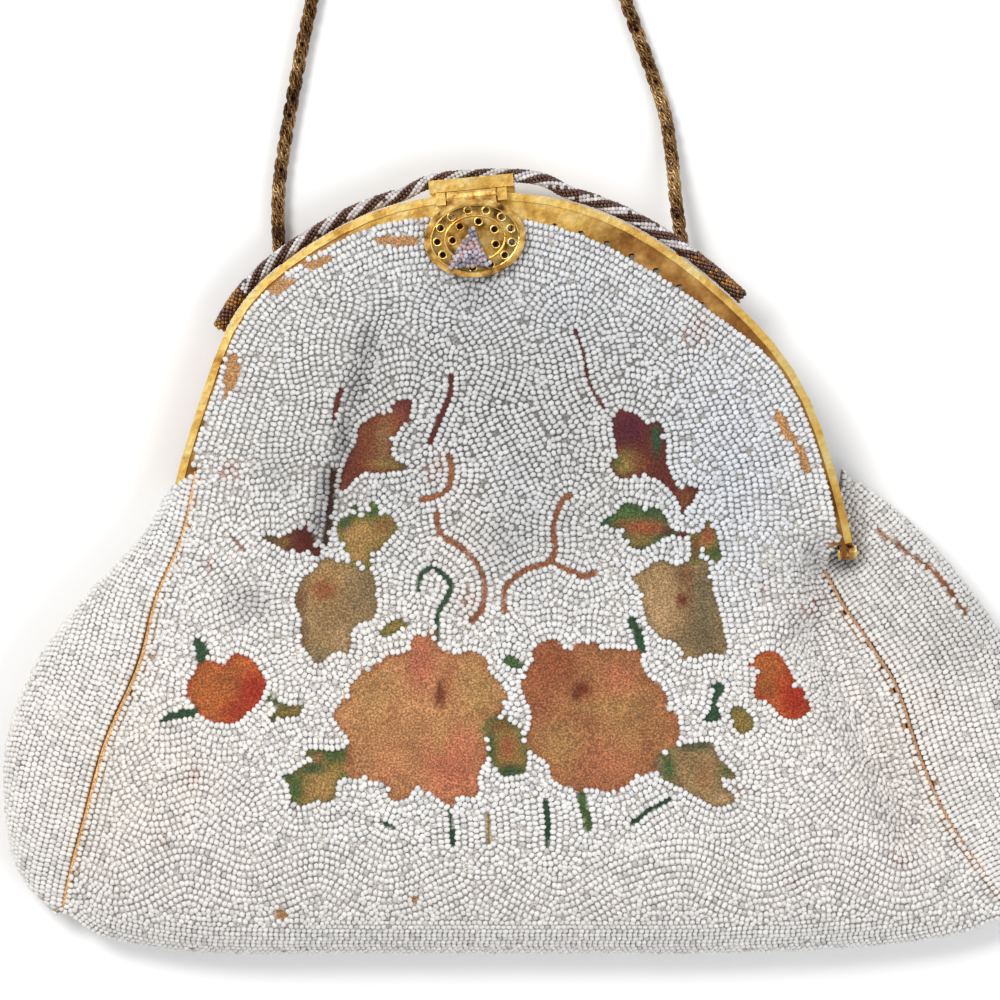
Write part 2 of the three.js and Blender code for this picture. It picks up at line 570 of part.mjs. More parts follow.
// Front or back panel: the rows follow the side seams, then the ends of the arch
function panel(face, arch, clothOnArch, frameOut) {
  const lastRow = STRIPS.seam + STRIPS.archEnd;
  const sides = { left: LEFT_SIDE, right: RIGHT_SIDE };
  const sidePoint = (name, j) => {
    if (j <= STRIPS.seam) {
      return smoothSeam(sides[name], face, j / STRIPS.seam);
    }
    const share = ((j - STRIPS.seam) / STRIPS.archEnd) ** ARCH_END_SPREAD;
    return clothOnArch(THREE.MathUtils.lerp(arch[`${name}Deg`], arch[`${name}CornerDeg`], share));
  };
  const curves = {
    bottom: (u) => bottomPoint(u, face),
    top: (u) => clothOnArch(THREE.MathUtils.lerp(arch.leftCornerDeg, arch.rightCornerDeg, u)),
  };
  const grid = [];
  for (let j = 0; j <= lastRow; j += 1) {
    const pastSeam = Math.max(j - STRIPS.seam, 0) / STRIPS.archEnd;
    const onSeam = Math.min(j / STRIPS.seam, 1) ** SEAM_SPREAD;
    const v = SEAM_SHARE * onSeam + (1 - SEAM_SHARE) * pastSeam;
    const sideAt = { left: sidePoint('left', j), right: sidePoint('right', j) };
    const row = [];
    for (let i = 0; i <= STRIPS.across; i += 1) {
      const u = i / STRIPS.across;
      const point = patchPoint(curves, u, v, sideAt);
      if (face === 'front') {
        const hold = Math.min(1, u * FOLD_HOLD, (1 - u) * FOLD_HOLD, v * FOLD_HOLD, (1 - v) * FOLD_HOLD);
        point.z += CROWN.height * swell(CROWN, u, v) + softLine(point, HINGE_DENT);
        point.z += hold * FRONT_FOLDS.reduce((sum, fold) => sum + softLine(point, fold), 0);
      } else {
        point.z = Math.max(0, point.z - BACK_SAG.depth * swell(BACK_SAG, u, v));
      }
      row.push(point);
    }
    grid.push(row);
  }
  pullBack(grid, 'left');
  pullBack(grid, 'right');
  const sideInward = (name) => (j) => {
    if (j > STRIPS.seam) {
      return frameOut.clone().negate();
    }
    return seamInward(sides[name], face, j / STRIPS.seam);
  };
  const edges = {
    bottom: (j, i) => bottomInward(i / STRIPS.across),
    top: () => frameOut.clone().negate(),
    left: sideInward('left'),
    right: sideInward('right'),
  };
  if (face === 'back') {
    const flipped = grid.map((row) => [...row].reverse());
    const turned = {
      bottom: (j, i) => edges.bottom(j, STRIPS.across - i),
      top: edges.top,
      left: edges.right,
      right: edges.left,
    };
    return clothWall(flipped, turnToEdges(flipped, turned));
  }
  return clothWall(grid, turnToEdges(grid, edges));
}

// The handle that both ends of a cubic curve share when its middle passes through a given value
function sharedHandle(middle, from, to) {
  return (8 * middle - from - to) / 6;
}

// Gusset: each row bows out from the front seam to its widest point and back under to the back seam
function gusset(side) {
  const grid = [];
  for (let j = 0; j <= STRIPS.seam; j += 1) {
    const share = j / STRIPS.seam;
    const row = alongTable(side, share);
    const front = seamPoint(side, 'front', share);
    const back = seamPoint(side, 'back', share);
    const bowX = sharedHandle(row.wideX, front.x, back.x);
    const bowY = sharedHandle(row.wideY, front.y, back.y);
    const high = new THREE.Vector3(bowX, bowY, front.z + GAP);
    const low = new THREE.Vector3(bowX, bowY, back.z + GAP);
    const section = new THREE.CubicBezierCurve3(front, high, low, back).getPoints(STRIPS.gusset);
    grid.push(side === LEFT_SIDE ? section.reverse() : section);
  }
  pullBack(grid, 'left');
  pullBack(grid, 'right');
  const [leftFace, rightFace] = side === LEFT_SIDE ? ['back', 'front'] : ['front', 'back'];
  const edges = {
    bottom: () => bottomInward(side === LEFT_SIDE ? 0 : 1),
    left: (j) => seamInward(side, leftFace, j / STRIPS.seam),
    right: (j) => seamInward(side, rightFace, j / STRIPS.seam),
  };
  return clothWall(grid, turnToEdges(grid, edges));
}

// Materials
const gilt = new THREE.MeshStandardMaterial({ color: 0xc9a24c, roughness: 0.3, metalness: 1 });
const darkBrass = new THREE.MeshStandardMaterial({ color: 0x5f4226, roughness: 0.45, metalness: 1 });
const beadedSilk = new THREE.MeshStandardMaterial({ color: 0xe9e6e2, roughness: 0.4, metalness: 0 });
const bronzeBeads = new THREE.MeshStandardMaterial({ color: 0x9a8a86, roughness: 0.4, metalness: 0 });

function piece(name, geometry, material) {
  const mesh = new THREE.Mesh(geometry, material);
  mesh.name = name;
  return mesh;
}

// Assembly
const frame = new THREE.Group();
frame.position.set(FRAME_PLACE.x, FRAME_PLACE.y, FRAME_PLACE.z);
const [pitch, roll, turn] = [FRAME_PLACE.pitchDeg, FRAME_PLACE.rollDeg, FRAME_PLACE.turnDeg]
  .map(THREE.MathUtils.degToRad);
frame.rotation.set(pitch, roll, turn, 'ZYX');
frame.updateMatrix();

const placeInFrame = (x, y, z) => new THREE.Vector3(x, y, z).applyMatrix4(frame.matrix);
const frontOut = new THREE.Vector3(0, 0, 1).transformDirection(frame.matrix);
const clothOnArm = (sign) => (deg) => {
  const place = archPoint(deg, RIM.thick + GAP + clothEdge(deg, 'inset'));
  return placeInFrame(place.x, place.y, sign * (FLANGE.high + GAP + WALL + clothEdge(deg, 'lift')));
};

const clasp = new THREE.Group();
clasp.add(piece('clasp_plaque', plaque(), gilt));
clasp.add(piece('clasp_beads', beadCluster(), beadedSilk));

frame.add(piece('front_frame', frontArm(), gilt));
frame.add(piece('back_frame', backArm(), gilt));
frame.add(piece('right_hinge_rivet', rivet(1), gilt));
frame.add(piece('left_hinge_rivet', rivet(-1), gilt));
frame.add(piece('clasp_pin', claspPin(), gilt));
frame.add(piece('trim', trim(), bronzeBeads));
frame.add(clasp);

const purse = new THREE.Group();
purse.add(frame);
const frontPanel = panel('front', FRONT_ARCH, clothOnArm(1), frontOut);
const backPanel = panel('back', BACK_ARCH, clothOnArm(-1), frontOut.clone().negate());
purse.add(piece('front_panel', frontPanel, beadedSilk));
purse.add(piece('back_panel', backPanel, beadedSilk));
purse.add(piece('left_gusset', gusset(LEFT_SIDE), beadedSilk));
purse.add(piece('right_gusset', gusset(RIGHT_SIDE), beadedSilk));
purse.add(piece('handle_chain', chain(placeInFrame), darkBrass));

export default purse;
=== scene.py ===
"""Looks of a beaded frame purse: printed silk, rows of seed beads, worn gilt, rope chain and bead trim."""
import math
from itertools import product

import bpy
import numpy as np
from mathutils import Matrix, Vector
from mathutils.bvhtree import BVHTree
from mathutils.kdtree import KDTree


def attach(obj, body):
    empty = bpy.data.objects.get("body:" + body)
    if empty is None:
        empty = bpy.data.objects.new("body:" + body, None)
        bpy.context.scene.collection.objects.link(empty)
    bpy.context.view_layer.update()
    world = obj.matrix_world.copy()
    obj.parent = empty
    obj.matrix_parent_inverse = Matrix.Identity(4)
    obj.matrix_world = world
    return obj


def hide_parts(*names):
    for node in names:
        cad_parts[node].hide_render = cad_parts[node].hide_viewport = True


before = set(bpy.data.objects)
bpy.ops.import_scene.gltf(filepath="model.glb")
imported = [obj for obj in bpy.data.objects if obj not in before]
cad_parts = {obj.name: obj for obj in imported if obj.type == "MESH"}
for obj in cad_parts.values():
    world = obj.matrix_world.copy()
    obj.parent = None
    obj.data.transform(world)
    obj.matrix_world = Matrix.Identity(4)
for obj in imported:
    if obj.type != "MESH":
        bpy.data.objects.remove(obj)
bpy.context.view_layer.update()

random = np.random.default_rng(7)
MM = 0.001

# View: the photograph looks straight down; the chart below is drawn in units of that view, 1000 each way
EYE = np.array([-1.05, 29.4, 1211.0])
CHART_HEIGHT = 11.0
CHART_UNIT = 0.21
CHART_SIZE = 1000
RAGGED = 1.2
SENSOR = 36.0

# Frame of the purse, in millimetres: the solids' arch, and where the cloth's edge lies along it
ARCH = {"half_width": 73.4, "height": 86.0, "width_power": 2.4, "height_power": 1.6}
# Where the arch is a little out of true: middle angle, how far outwards, half angle
BENDS = [(66, -2.4, 25.6), (127.4, 2.5, 11.4), (33, 1.8, 13)]
FRAME_PLACE = np.array([0.5, 9.0, 10.6])
FRAME_TURNS = {"pitch": -1.5, "roll": -3.0, "turn": 5.0}
RIM_THICK = 1.6
FLANGE_HIGH = 3.0
GAP = 0.3
WALL = 1.6
CLOTH_EDGE = {
    "deg": [0, 20, 36, 48, 62, 78, 90, 102, 118, 140, 180],
    "inset": [1.0, 0.2, 0.4, 3.0, 4.3, 4.0, 3.2, 1.2, 0.3, 0.3, 0.3],
    "lift": [2.8, 0.8, 0.3, 0, 0, 0, 0, 0, 0, 0, 0],
}

# Side seams from the bottom corner to the frame: front x y z, widest x y, back x y z
LEFT_SIDE = [
    (-93.2, -57.4, 8, -95, -58.2, -93.2, -57.4, 5),
    (-91.3, -50, 12.5, -102, -50, -94.5, -50, 2),
    (-87.7, -38, 17.5, -105.2, -38, -95, -38, 0.8),
    (-82.8, -21, 20, -104.8, -21, -94, -21, 0.6),
    (-76, -5, 19.5, -99, -5.5, -90, -6, 0.6),
    (-72.6, 9, 17, -88.8, 9, -82, 8, 0.6),
    (-67.5, 22, 14.5, -77, 21.5, -72.5, 21, 0.4),
    (-64.8, 35.5, 12.8, -71.2, 31.5, -67.5, 33, 0.4),
]
RIGHT_SIDE = [
    (107.5, -57.3, 8, 109.4, -57.8, 107.5, -57.3, 5),
    (99.5, -47.5, 12, 112.6, -48, 104.5, -47, 1.8),
    (91.5, -36, 15, 113.6, -32, 103, -31, 0.8),
    (86.3, -24.6, 17, 112, -16.5, 101, -18, 0.6),
    (81.5, -10, 17, 105.5, -0.5, 95, -5, 0.6),
    (76, -1, 15.9, 96, 13, 86, 4, 0.8),
    (71, 6.5, 16.8, 85.5, 25, 77.5, 11, 1.6),
    (67, 14.6, 17.6, 71.4, 36, 70.2, 19.2, 3.5),
]
SIDES = {"left": LEFT_SIDE, "right": RIGHT_SIDE}
FRONT_COLUMNS = slice(0, 3)
WIDE_COLUMNS = slice(3, 5)
BACK_COLUMNS = slice(5, 8)
BOTTOM = [
    (-93.2, -57.4), (-83.4, -63.2), (-62, -66.3), (-30, -66.4), (8, -66.4),
    (46, -66.3), (76, -65), (96, -62.2), (107.5, -57.3),
]
BOTTOM_EDGE = {"height": 6.5, "corner_split": 1.35, "corner_share": 0.08}
SEAM_ROWS = 14
ARCH_ROWS = 6
ARCH_END_SPREAD = 1.5
SEAM_SHARE = 0.72
SEAM_SPREAD = 1.3
ARCH_CORNERS = {"left": 134, "right": 40}
ARCH_ENDS = {"front": {"left": 151, "right": 7}, "back": {"left": 151, "right": 8}}
CROWN = {"height": 14, "flatness": 2.6, "roll_share": 0.2, "fall": 1.8}
BACK_SAG = {"height": 18, "flatness": 4, "roll_share": 0.08, "fall": 5}
FOLD_HOLD = 12
EASE = {"rows": 1.3, "end_rows": 3, "share": 0.035}
# Folds: from x y, to x y, width, height
HINGE_DENT = (67, 14.6, 71.5, 13, 5.8, -8.2)
FRONT_FOLDS = [
    (-31.2, 66.5, -43.5, 21.6, 5, 2.2),
    (-25, 66.5, -37.3, 21.6, 3.4, -2.4),
    (65.5, 1, 85, -38, 5.5, -7.4),
    (14.7, 65, 18, 50, 4, -1.2),
    (-9, 85, -5, 72, 13, -2.6),
    (-64, -30, -52, -58, 7, -1.4),
    (48, -44, 51, -64, 5, -1.6),
]

# Rope chain: where it leaves the back arm, its route on the surface (x, y, lift) and its links
CHAIN_EXIT = {"left": 119.3, "right": 57.7, "out": 1.325, "height": -3.4}
CHAIN_REST = 1.62
CHAIN_ROUTE = [
    (-48.0, 92.4, 0.5), (-46.9, 102.9, 0), (-43.2, 123.9, 0), (-41.0, 134.4, 0), (-38.5, 147.0, 0),
    (-35.1, 159.6, 0), (-28.4, 170.5, 0), (-19.5, 178.1, 0), (-9.5, 180.2, 0), (0.6, 177.0, 0),
    (9.5, 169.1, 0), (16.4, 157.9, 0), (21.6, 146.0, 0), (25.8, 134.4, 0), (33.2, 113.4, 0),
    (35.1, 102.9, 1.2), (36.1, 92.4, 3.6),
]
LINK = {"step": 1.2, "long": 1.05, "wide": 0.54, "wire": 0.35, "offset": 0.82, "twist": 11.4, "lean": 35}
STRANDS = 3
CHAIN_SAMPLES = 2000
CHAIN_STEP = 0.2

# Bead trim: strands of beads twisted round a cord along the back arm; it bows out round the catch
TRIM = {"radius": 1.6, "height": 0.1, "from": 46.5, "to": 131.8, "gold_below": 56, "gold_above": 126}
TRIM_BOW = {"middle": 88, "out": 2.0, "half": 8.5, "power": 6}
TRIM_BEAD = {"size": 0.96, "step": 1.0, "ring": 1.06, "pairs": 4, "twist": 14.5, "cord": 0.9,
             "cord_step": 1.0, "dark_share": 0.08, "gold_share": 0.45}
TRIM_SAMPLES = 400

# Clasp: the plaque's oval and the bead cluster on it, in the frame's own place
PLAQUE = {"half_width": 10.7, "half_height": 8.2, "y": 75.3, "top": 6.2}
# Wire ovals: share of the plaque's oval and wire; they stand out by a part of their wire
PLAQUE_WIRES = [(0.87, 0.34), (0.59, 0.24)]
WIRE_PROUD = 0.4
OVAL_SAMPLES = 49
# Wire eyelets round the plaque's holes: share of the oval and count
EYELETS = [(0.74, 13), (0.44, 7)]
EYELET = {"radius": 0.86, "wire": 0.2}
CLUSTER = {"apex_x": -0.4, "apex_y": 77.0, "left_x": -6.0, "right_x": 2.6, "base_y": 69.4}
CLUSTER_BEAD = {"size": 1.05, "closest": 0.82, "tries": 3000}
# Layers of the cluster: height over the plaque and how far they stay back from its edge
CLUSTER_LAYERS = [(0.5, -0.4), (1.2, 0.3), (1.7, 1.0)]

# Cloth and beads, in millimetres
SILK_DEPTH = 0.74
SILK_THICK = 0.5
INNER_STRIDE = 2
BEAD = {"along": 1.22, "across": 1.48, "height": 1.08, "row": 1.38, "pitch": 1.14}
BACK_SCALE = 1.16
BEAD_SINK = 0.4
CLOSEST = 0.84
FILL_GAPS = (1.02, 0.94)
STEEP = 0.72
BOTTOM_ROLL = -45
ROW_WANDER = 0.35
SEAM_RADIUS = {"left": 0.5, "right": 0.46}
SEAM_TONE = {"left": (214, 168, 118), "right": (178, 138, 106)}
# How near the first rows come to the seams, in rows
SEAM_FIRST = {"left": 0.5, "right": 0.3}
GUSSET_FIRST = {"left": 0.6, "right": 0.3}
GUSSET_NARROW = 5.0
# How near the first rows come to other edges, in rows
FIRST_ROW = {"edge": 0.46, "back": 0.66, "fold": 0.4}
GUSSET_END = 0.5
# Rows may lie this much nearer to another line than to their own, in rows
ROW_OVERLAP = 0.3
MEANDER_HALF = 0.04
ROW_COUNTS = {"frame": 60, "seam": 40, "motif": 24, "bottom": 30, "back": 50, "back_meander": 30}
SHORTEST_ROW = 3
SHORTEST_LINE = 4
FILL_TRIES = {"front": 70000, "back": 40000, "gusset": 9000}
# Gusset beads stay off bare places only where the cloth faces up
FACES_UP = 0.15
# Back beads are placed by rays from this height
BELOW = -50
# Shares of beads that are lost, and of dull ones
MISSING = {"panel": 0.006, "gusset": 0.004}
DULL = {"share": 0.05, "strength": 0.6}
# How much beads vary, and the limits of their tints
UNEVEN = {"size": 0.07, "lean": 0.14, "swing": 0.22, "tint": 0.05, "trim_tint": 0.16, "cluster_lean": 0.3}
TINT_LIMITS = 0.82, 1.08
TRIM_TINT_LIMITS = 0.55, 1.35

# Points of the cloths' grids, and where these end, in shares of the cloth
GRID_POINTS = {"front": (201, 257), "back": (81, 101), "gusset": (61, 41)}
PANEL_ENDS = 0.001, 0.999
GUSSET_ENDS = 0.012, 0.988
# Points along an edge, and steps along lines on the chart and on the back
COARSE_EDGE, SEAM_EDGE, LONG_EDGE = 60, 120, 160
CHART_STEP, FINE_STEP, BACK_STEP = 1.5, 1.0, 0.4
LINE_SAMPLES = 32
CAP_STEPS = 9
# Points of an outline that share a notch
NOTCH = 5


# Shapes of the purse
def unit(vectors):
    return vectors / np.maximum(np.linalg.norm(vectors, axis=-1, keepdims=True), 1e-9)


def along_table(rows, share):
    """Smooth value of every column of a table, at shares of the way through its rows."""
    rows = np.asarray(rows, float)
    last = len(rows) - 1
    place = np.clip(share, 0, 1) * last
    index = np.minimum(place.astype(int), last - 1)
    t = (place - index)[:, None]
    a, b = rows[index], rows[index + 1]
    slope_a = (b - rows[np.maximum(index - 1, 0)]) / np.where(index > 0, 2, 1)[:, None]
    slope_b = (rows[np.minimum(index + 2, last)] - a) / np.where(index + 2 <= last, 2, 1)[:, None]
    ends = a * (1 + 2 * t) * (1 - t) ** 2 + b * t * t * (3 - 2 * t)
    return ends + slope_a * t * (1 - t) ** 2 - slope_b * t * t * (1 - t)


def turn_matrix(pitch, roll, turn):
    cx, cy, cz = (math.cos(math.radians(v)) for v in (pitch, roll, turn))
    sx, sy, sz = (math.sin(math.radians(v)) for v in (pitch, roll, turn))
    about_x = np.array([[1, 0, 0], [0, cx, -sx], [0, sx, cx]])
    about_y = np.array([[cy, 0, sy], [0, 1, 0], [-sy, 0, cy]])
    about_z = np.array([[cz, -sz, 0], [sz, cz, 0], [0, 0, 1]])
    return about_z @ about_y @ about_x


FRAME_MATRIX = turn_matrix(**FRAME_TURNS)


def in_frame(points):
    return np.asarray(points, float) @ FRAME_MATRIX.T + FRAME_PLACE


def true_arch(deg):
    angle = np.radians(deg)
    across = np.cos(angle)
    up = np.maximum(np.sin(angle), 0)
    x = ARCH["half_width"] * np.sign(across) * np.abs(across) ** (2 / ARCH["width_power"])
    return np.stack([x, ARCH["height"] * up ** (2 / ARCH["height_power"])], -1)


def outwards(curve, deg):
    probe = 0.5
    along = unit(curve(np.minimum(deg + probe, 180)) - curve(np.maximum(deg - probe, 0)))
    return np.stack([along[..., 1], -along[..., 0]], -1)


def arch_outline(deg):
    bend = sum(out * np.exp(-(((deg - middle) / half) ** 2)) for middle, out, half in BENDS)
    return true_arch(deg) + outwards(true_arch, deg) * np.asarray(bend)[..., None]


def arch_point(deg, inset):
    deg = np.asarray(deg, float)
    return arch_outline(deg) - outwards(arch_outline, deg) * np.asarray(inset)[..., None]


def cloth_on_arm(deg, side):
    inset, lift = (np.interp(deg, CLOTH_EDGE["deg"], CLOTH_EDGE[name]) for name in ("inset", "lift"))
    place = arch_point(deg, RIM_THICK + GAP + inset)
    height = side * (FLANGE_HIGH + GAP + WALL + lift)
    return in_frame(np.concatenate([place, height[..., None]], -1))


def bottom_curve(share, face):
    near = np.maximum(0, 1 - np.minimum(share, 1 - share) / BOTTOM_EDGE["corner_share"]) ** 2
    split = GAP / 2 + BOTTOM_EDGE["corner_split"] * near
    height = BOTTOM_EDGE["height"] + (split if face == "front" else -split)
    return np.column_stack([along_table(BOTTOM, share), height])


def side_curve(name, face, rows):
    """A panel's side edge: up the seam, then along the end of the arch."""
    columns = FRONT_COLUMNS if face == "front" else BACK_COLUMNS
    seam = along_table(SIDES[name], rows / SEAM_ROWS)[:, columns]
    share = np.clip((rows - SEAM_ROWS) / ARCH_ROWS, 0, 1) ** ARCH_END_SPREAD
    end, corner = ARCH_ENDS[face][name], ARCH_CORNERS[name]
    arm = cloth_on_arm(end + (corner - end) * share, 1 if face == "front" else -1)
    return np.where((rows <= SEAM_ROWS)[:, None], seam, arm)


def eased(edge, rows, share):
    """An edge curve as the cloth follows it: true at the edge itself, its kink smoothed away inside."""
    weight = np.exp(-(((rows[:, None] - rows[None, :]) / EASE["rows"]) ** 2))
    smoothed = (weight @ edge) / weight.sum(1, keepdims=True)
    hold = np.clip(np.minimum(rows - rows[0], rows[-1] - rows) / EASE["end_rows"], 0, 1)[:, None]
    soft = edge + (smoothed - edge) * hold
    return soft[:, None] + (edge - soft)[:, None] * np.exp(-((share / EASE["share"]) ** 2))


def soft_line(points, fold):
    start, end = np.array(fold[0:2]), np.array(fold[2:4])
    width, height = fold[4:6]
    along = end - start
    share = np.clip(((points[..., :2] - start) @ along) / (along @ along), 0, 1)
    distance = np.linalg.norm(points[..., :2] - start - share[..., None] * along, axis=-1)
    return height * np.exp(-((distance / width) ** 2))


def swell(shape, u, v):
    across = 1 - np.abs(2 * u - 1) ** shape["flatness"]
    roll_away = 1 - np.minimum(v / shape["roll_share"], 1)
    return shape["height"] * across * np.sqrt(1 - roll_away ** 2) * (1 - v ** shape["fall"])


def panel_grid(face, rows, shares):
    """Outer surface of the front or back panel at the given rows and shares of its width."""
    on_seam = np.minimum(rows / SEAM_ROWS, 1) ** SEAM_SPREAD
    past_seam = np.maximum(rows - SEAM_ROWS, 0) / ARCH_ROWS
    v = (SEAM_SHARE * on_seam + (1 - SEAM_SHARE) * past_seam)[:, None]
    u = shares[None, :]
    ends = np.array([0.0, 1.0])
    corners = ARCH_CORNERS["left"], ARCH_CORNERS["right"]
    arm_side = 1 if face == "front" else -1
    top = cloth_on_arm(corners[0] + (corners[1] - corners[0]) * shares, arm_side)
    top_ends = cloth_on_arm(np.array(corners, float), arm_side)
    bottom, bottom_ends = bottom_curve(shares, face), bottom_curve(ends, face)
    U, V = u[..., None], v[..., None]
    left = eased(side_curve("left", face, rows), rows, U)
    right = eased(side_curve("right", face, rows), rows, 1 - U)
    grid = (1 - V) * bottom + V * top + (1 - U) * left + U * right
    grid = grid - (1 - V) * ((1 - U) * bottom_ends[0] + U * bottom_ends[1])
    grid = grid - V * ((1 - U) * top_ends[0] + U * top_ends[1])
    if face == "front":
        hold = np.minimum(np.minimum(u, 1 - u), np.minimum(v, 1 - v)) * FOLD_HOLD
        folds = sum(soft_line(grid, fold) for fold in FRONT_FOLDS)
        lift = swell(CROWN, u, v) + soft_line(grid, HINGE_DENT) + np.clip(hold, 0, 1) * folds
        grid[..., 2] += lift
    else:
        grid[..., 2] = np.maximum(0, grid[..., 2] - swell(BACK_SAG, u, v))
    return grid


def gusset_grid(name, shares, turns):
    """Outer surface of a gusset: sections from the front seam round to the back seam."""
    rows = along_table(SIDES[name], shares)
    front, wide, back = rows[:, FRONT_COLUMNS].copy(), rows[:, WIDE_COLUMNS], rows[:, BACK_COLUMNS]
    front[:, 2] += soft_line(front, HINGE_DENT)
    # Inner points of each section's cubic curve, so that its middle is at the widest place
    bow = (8 * wide - front[:, :2] - back[:, :2]) / 6
    high = np.column_stack([bow, front[:, 2] + GAP])
    low = np.column_stack([bow, back[:, 2] + GAP])
    t = turns[None, :, None]
    front, high, low, back = (points[:, None] for points in (front, high, low, back))
    return front * (1 - t) ** 3 + high * 3 * t * (1 - t) ** 2 + low * 3 * t * t * (1 - t) + back * t ** 3


def grid_normals(grid, outward):
    along = np.gradient(grid, axis=1)
    up = np.gradient(grid, axis=0)
    return unit(np.cross(along, up)) * outward


# Chart: the view's own units, x to the right and y down, laid on the purse from the eye
def to_chart(points):
    scale = (EYE[2] - CHART_HEIGHT) / (EYE[2] - points[..., 2]) / CHART_UNIT
    x = CHART_SIZE / 2 + (points[..., 0] - EYE[0]) * scale
    y = CHART_SIZE / 2 - (points[..., 1] - EYE[1]) * scale
    return np.stack([x, y], -1)


def sight_line(place):
    """Direction from the eye through a place on the chart."""
    half = CHART_SIZE / 2
    across, up = (place[0] - half) * CHART_UNIT, (half - place[1]) * CHART_UNIT
    return Vector((across, up, CHART_HEIGHT - EYE[2])).normalized()


def smooth_line(points, is_closed, step=CHART_STEP):
    """A smooth curve through chart points, sampled at an even step."""
    points = np.asarray(points, float)
    if is_closed:
        points = np.vstack([points[-1:], points, points[:2]])
    share = np.linspace(0, 1, LINE_SAMPLES * len(points))
    if is_closed:
        spans = len(points) - 1
        share = (1 + share * (spans - 2)) / spans
    return even_steps(along_table(points, share), step)


def even_steps(line, step, start=0.0):
    lengths = np.concatenate([[0], np.cumsum(np.linalg.norm(np.diff(line, axis=0), axis=1))])
    stops = np.arange(start, lengths[-1], step)
    return np.column_stack([np.interp(stops, lengths, line[:, k]) for k in range(line.shape[1])])


def ragged(outline):
    """The same outline with small uneven notches, as single beads leave them."""
    push = np.repeat(random.normal(0, RAGGED, len(outline) // NOTCH), NOTCH)
    push = np.concatenate([push, np.zeros(len(outline) - len(push))])
    soft = (np.roll(push, 1) + push * 2 + np.roll(push, -1)) / 4
    along = unit(np.roll(outline, -1, 0) - np.roll(outline, 1, 0))
    return outline + np.column_stack([-along[:, 1], along[:, 0]]) * soft[:, None]


def is_inside(outline, places):
    x, y = places[..., 0], places[..., 1]
    result = np.zeros(x.shape, bool)
    x0, y0 = outline[-1]
    for x1, y1 in outline:
        crosses = (y0 > y) != (y1 > y)
        reach = (x1 - x0) * (y - y0) / (y1 - y0 if y1 != y0 else 1) + x0
        result ^= crosses & (x < reach)
        x0, y0 = x1, y1
    return result


def ink(red, green, blue):
    """A colour named as it looks on screen, 0 to 255, as light."""
    value = np.array([red, green, blue]) / 255
    return np.where(value <= 0.04045, value / 12.92, ((value + 0.055) / 1.055) ** 2.4)


# Colours of the printed silk, and of painted shade on it
SILK = ink(172, 126, 82)
# Silk under the beads; the darker one is painted shade in the gaps of the upper field
UNDER_BEADS, UNDER_GAP_SHADE = ink(208, 202, 194), ink(124, 122, 120)
PEACH, ROSE_PINK, ROSE_TAN = ink(168, 118, 77), ink(172, 98, 72), ink(160, 122, 74)
ROSE_BROWN, ROSE_HEART = ink(136, 74, 46), ink(96, 40, 20)
OLIVE, OLIVE_SHADE, OLIVE_LIGHT = ink(137, 109, 73), ink(104, 91, 66), ink(164, 132, 94)
GREEN, DEEP_GREEN, LEAF_OLIVE = ink(66, 88, 46), ink(40, 68, 44), ink(128, 104, 54)
ORANGE, RED, RUST = ink(160, 88, 42), ink(150, 44, 24), ink(114, 63, 36)
DARK_PEACH, STEM, STAIN = ink(147, 96, 60), ink(134, 82, 52), ink(150, 92, 66)
WINE, MAROON, BROWN = ink(82, 28, 42), ink(88, 38, 28), ink(104, 62, 38)
# A dark brown painted as shadow in a fold's hollow, and bare silk under the plaque darkened as painted shade
HOLLOW_SHADOW, SHADED_SILK_UNDER_PLAQUE = ink(56, 38, 26), ink(118, 84, 54)

# Colours of the beads and the trim; the cool tint is a painted sky reflection, and the field grey and the
# fold tones are painted shade
WHITE, COOL_SKY_REFLECTION, WARM, SHADE = ink(227, 226, 225), ink(206, 211, 220), ink(230, 224, 217), ink(178, 176, 176)
FIELD_SHADE = ink(198, 197, 194)
BRONZE, OLD_GOLD, TRIM_CORD = ink(98, 70, 60), ink(150, 106, 56), ink(72, 46, 46)
TRIM_WHITE = ink(204, 200, 200)
CLUSTER_TONES = [
    ink(182, 178, 188), ink(160, 154, 168), ink(200, 194, 200), ink(190, 156, 156), ink(132, 126, 138),
]
# Painted shade of the folds: one tone on the beads, a darker one on the silk under them
FOLD_SHADE_TONE, UNDER_FOLD_SHADE = ink(132, 131, 132), ink(84, 79, 76)
# Painted fold shade lies only on beads above this height, in millimetres
FOLD_SHADE_ABOVE = 6.0

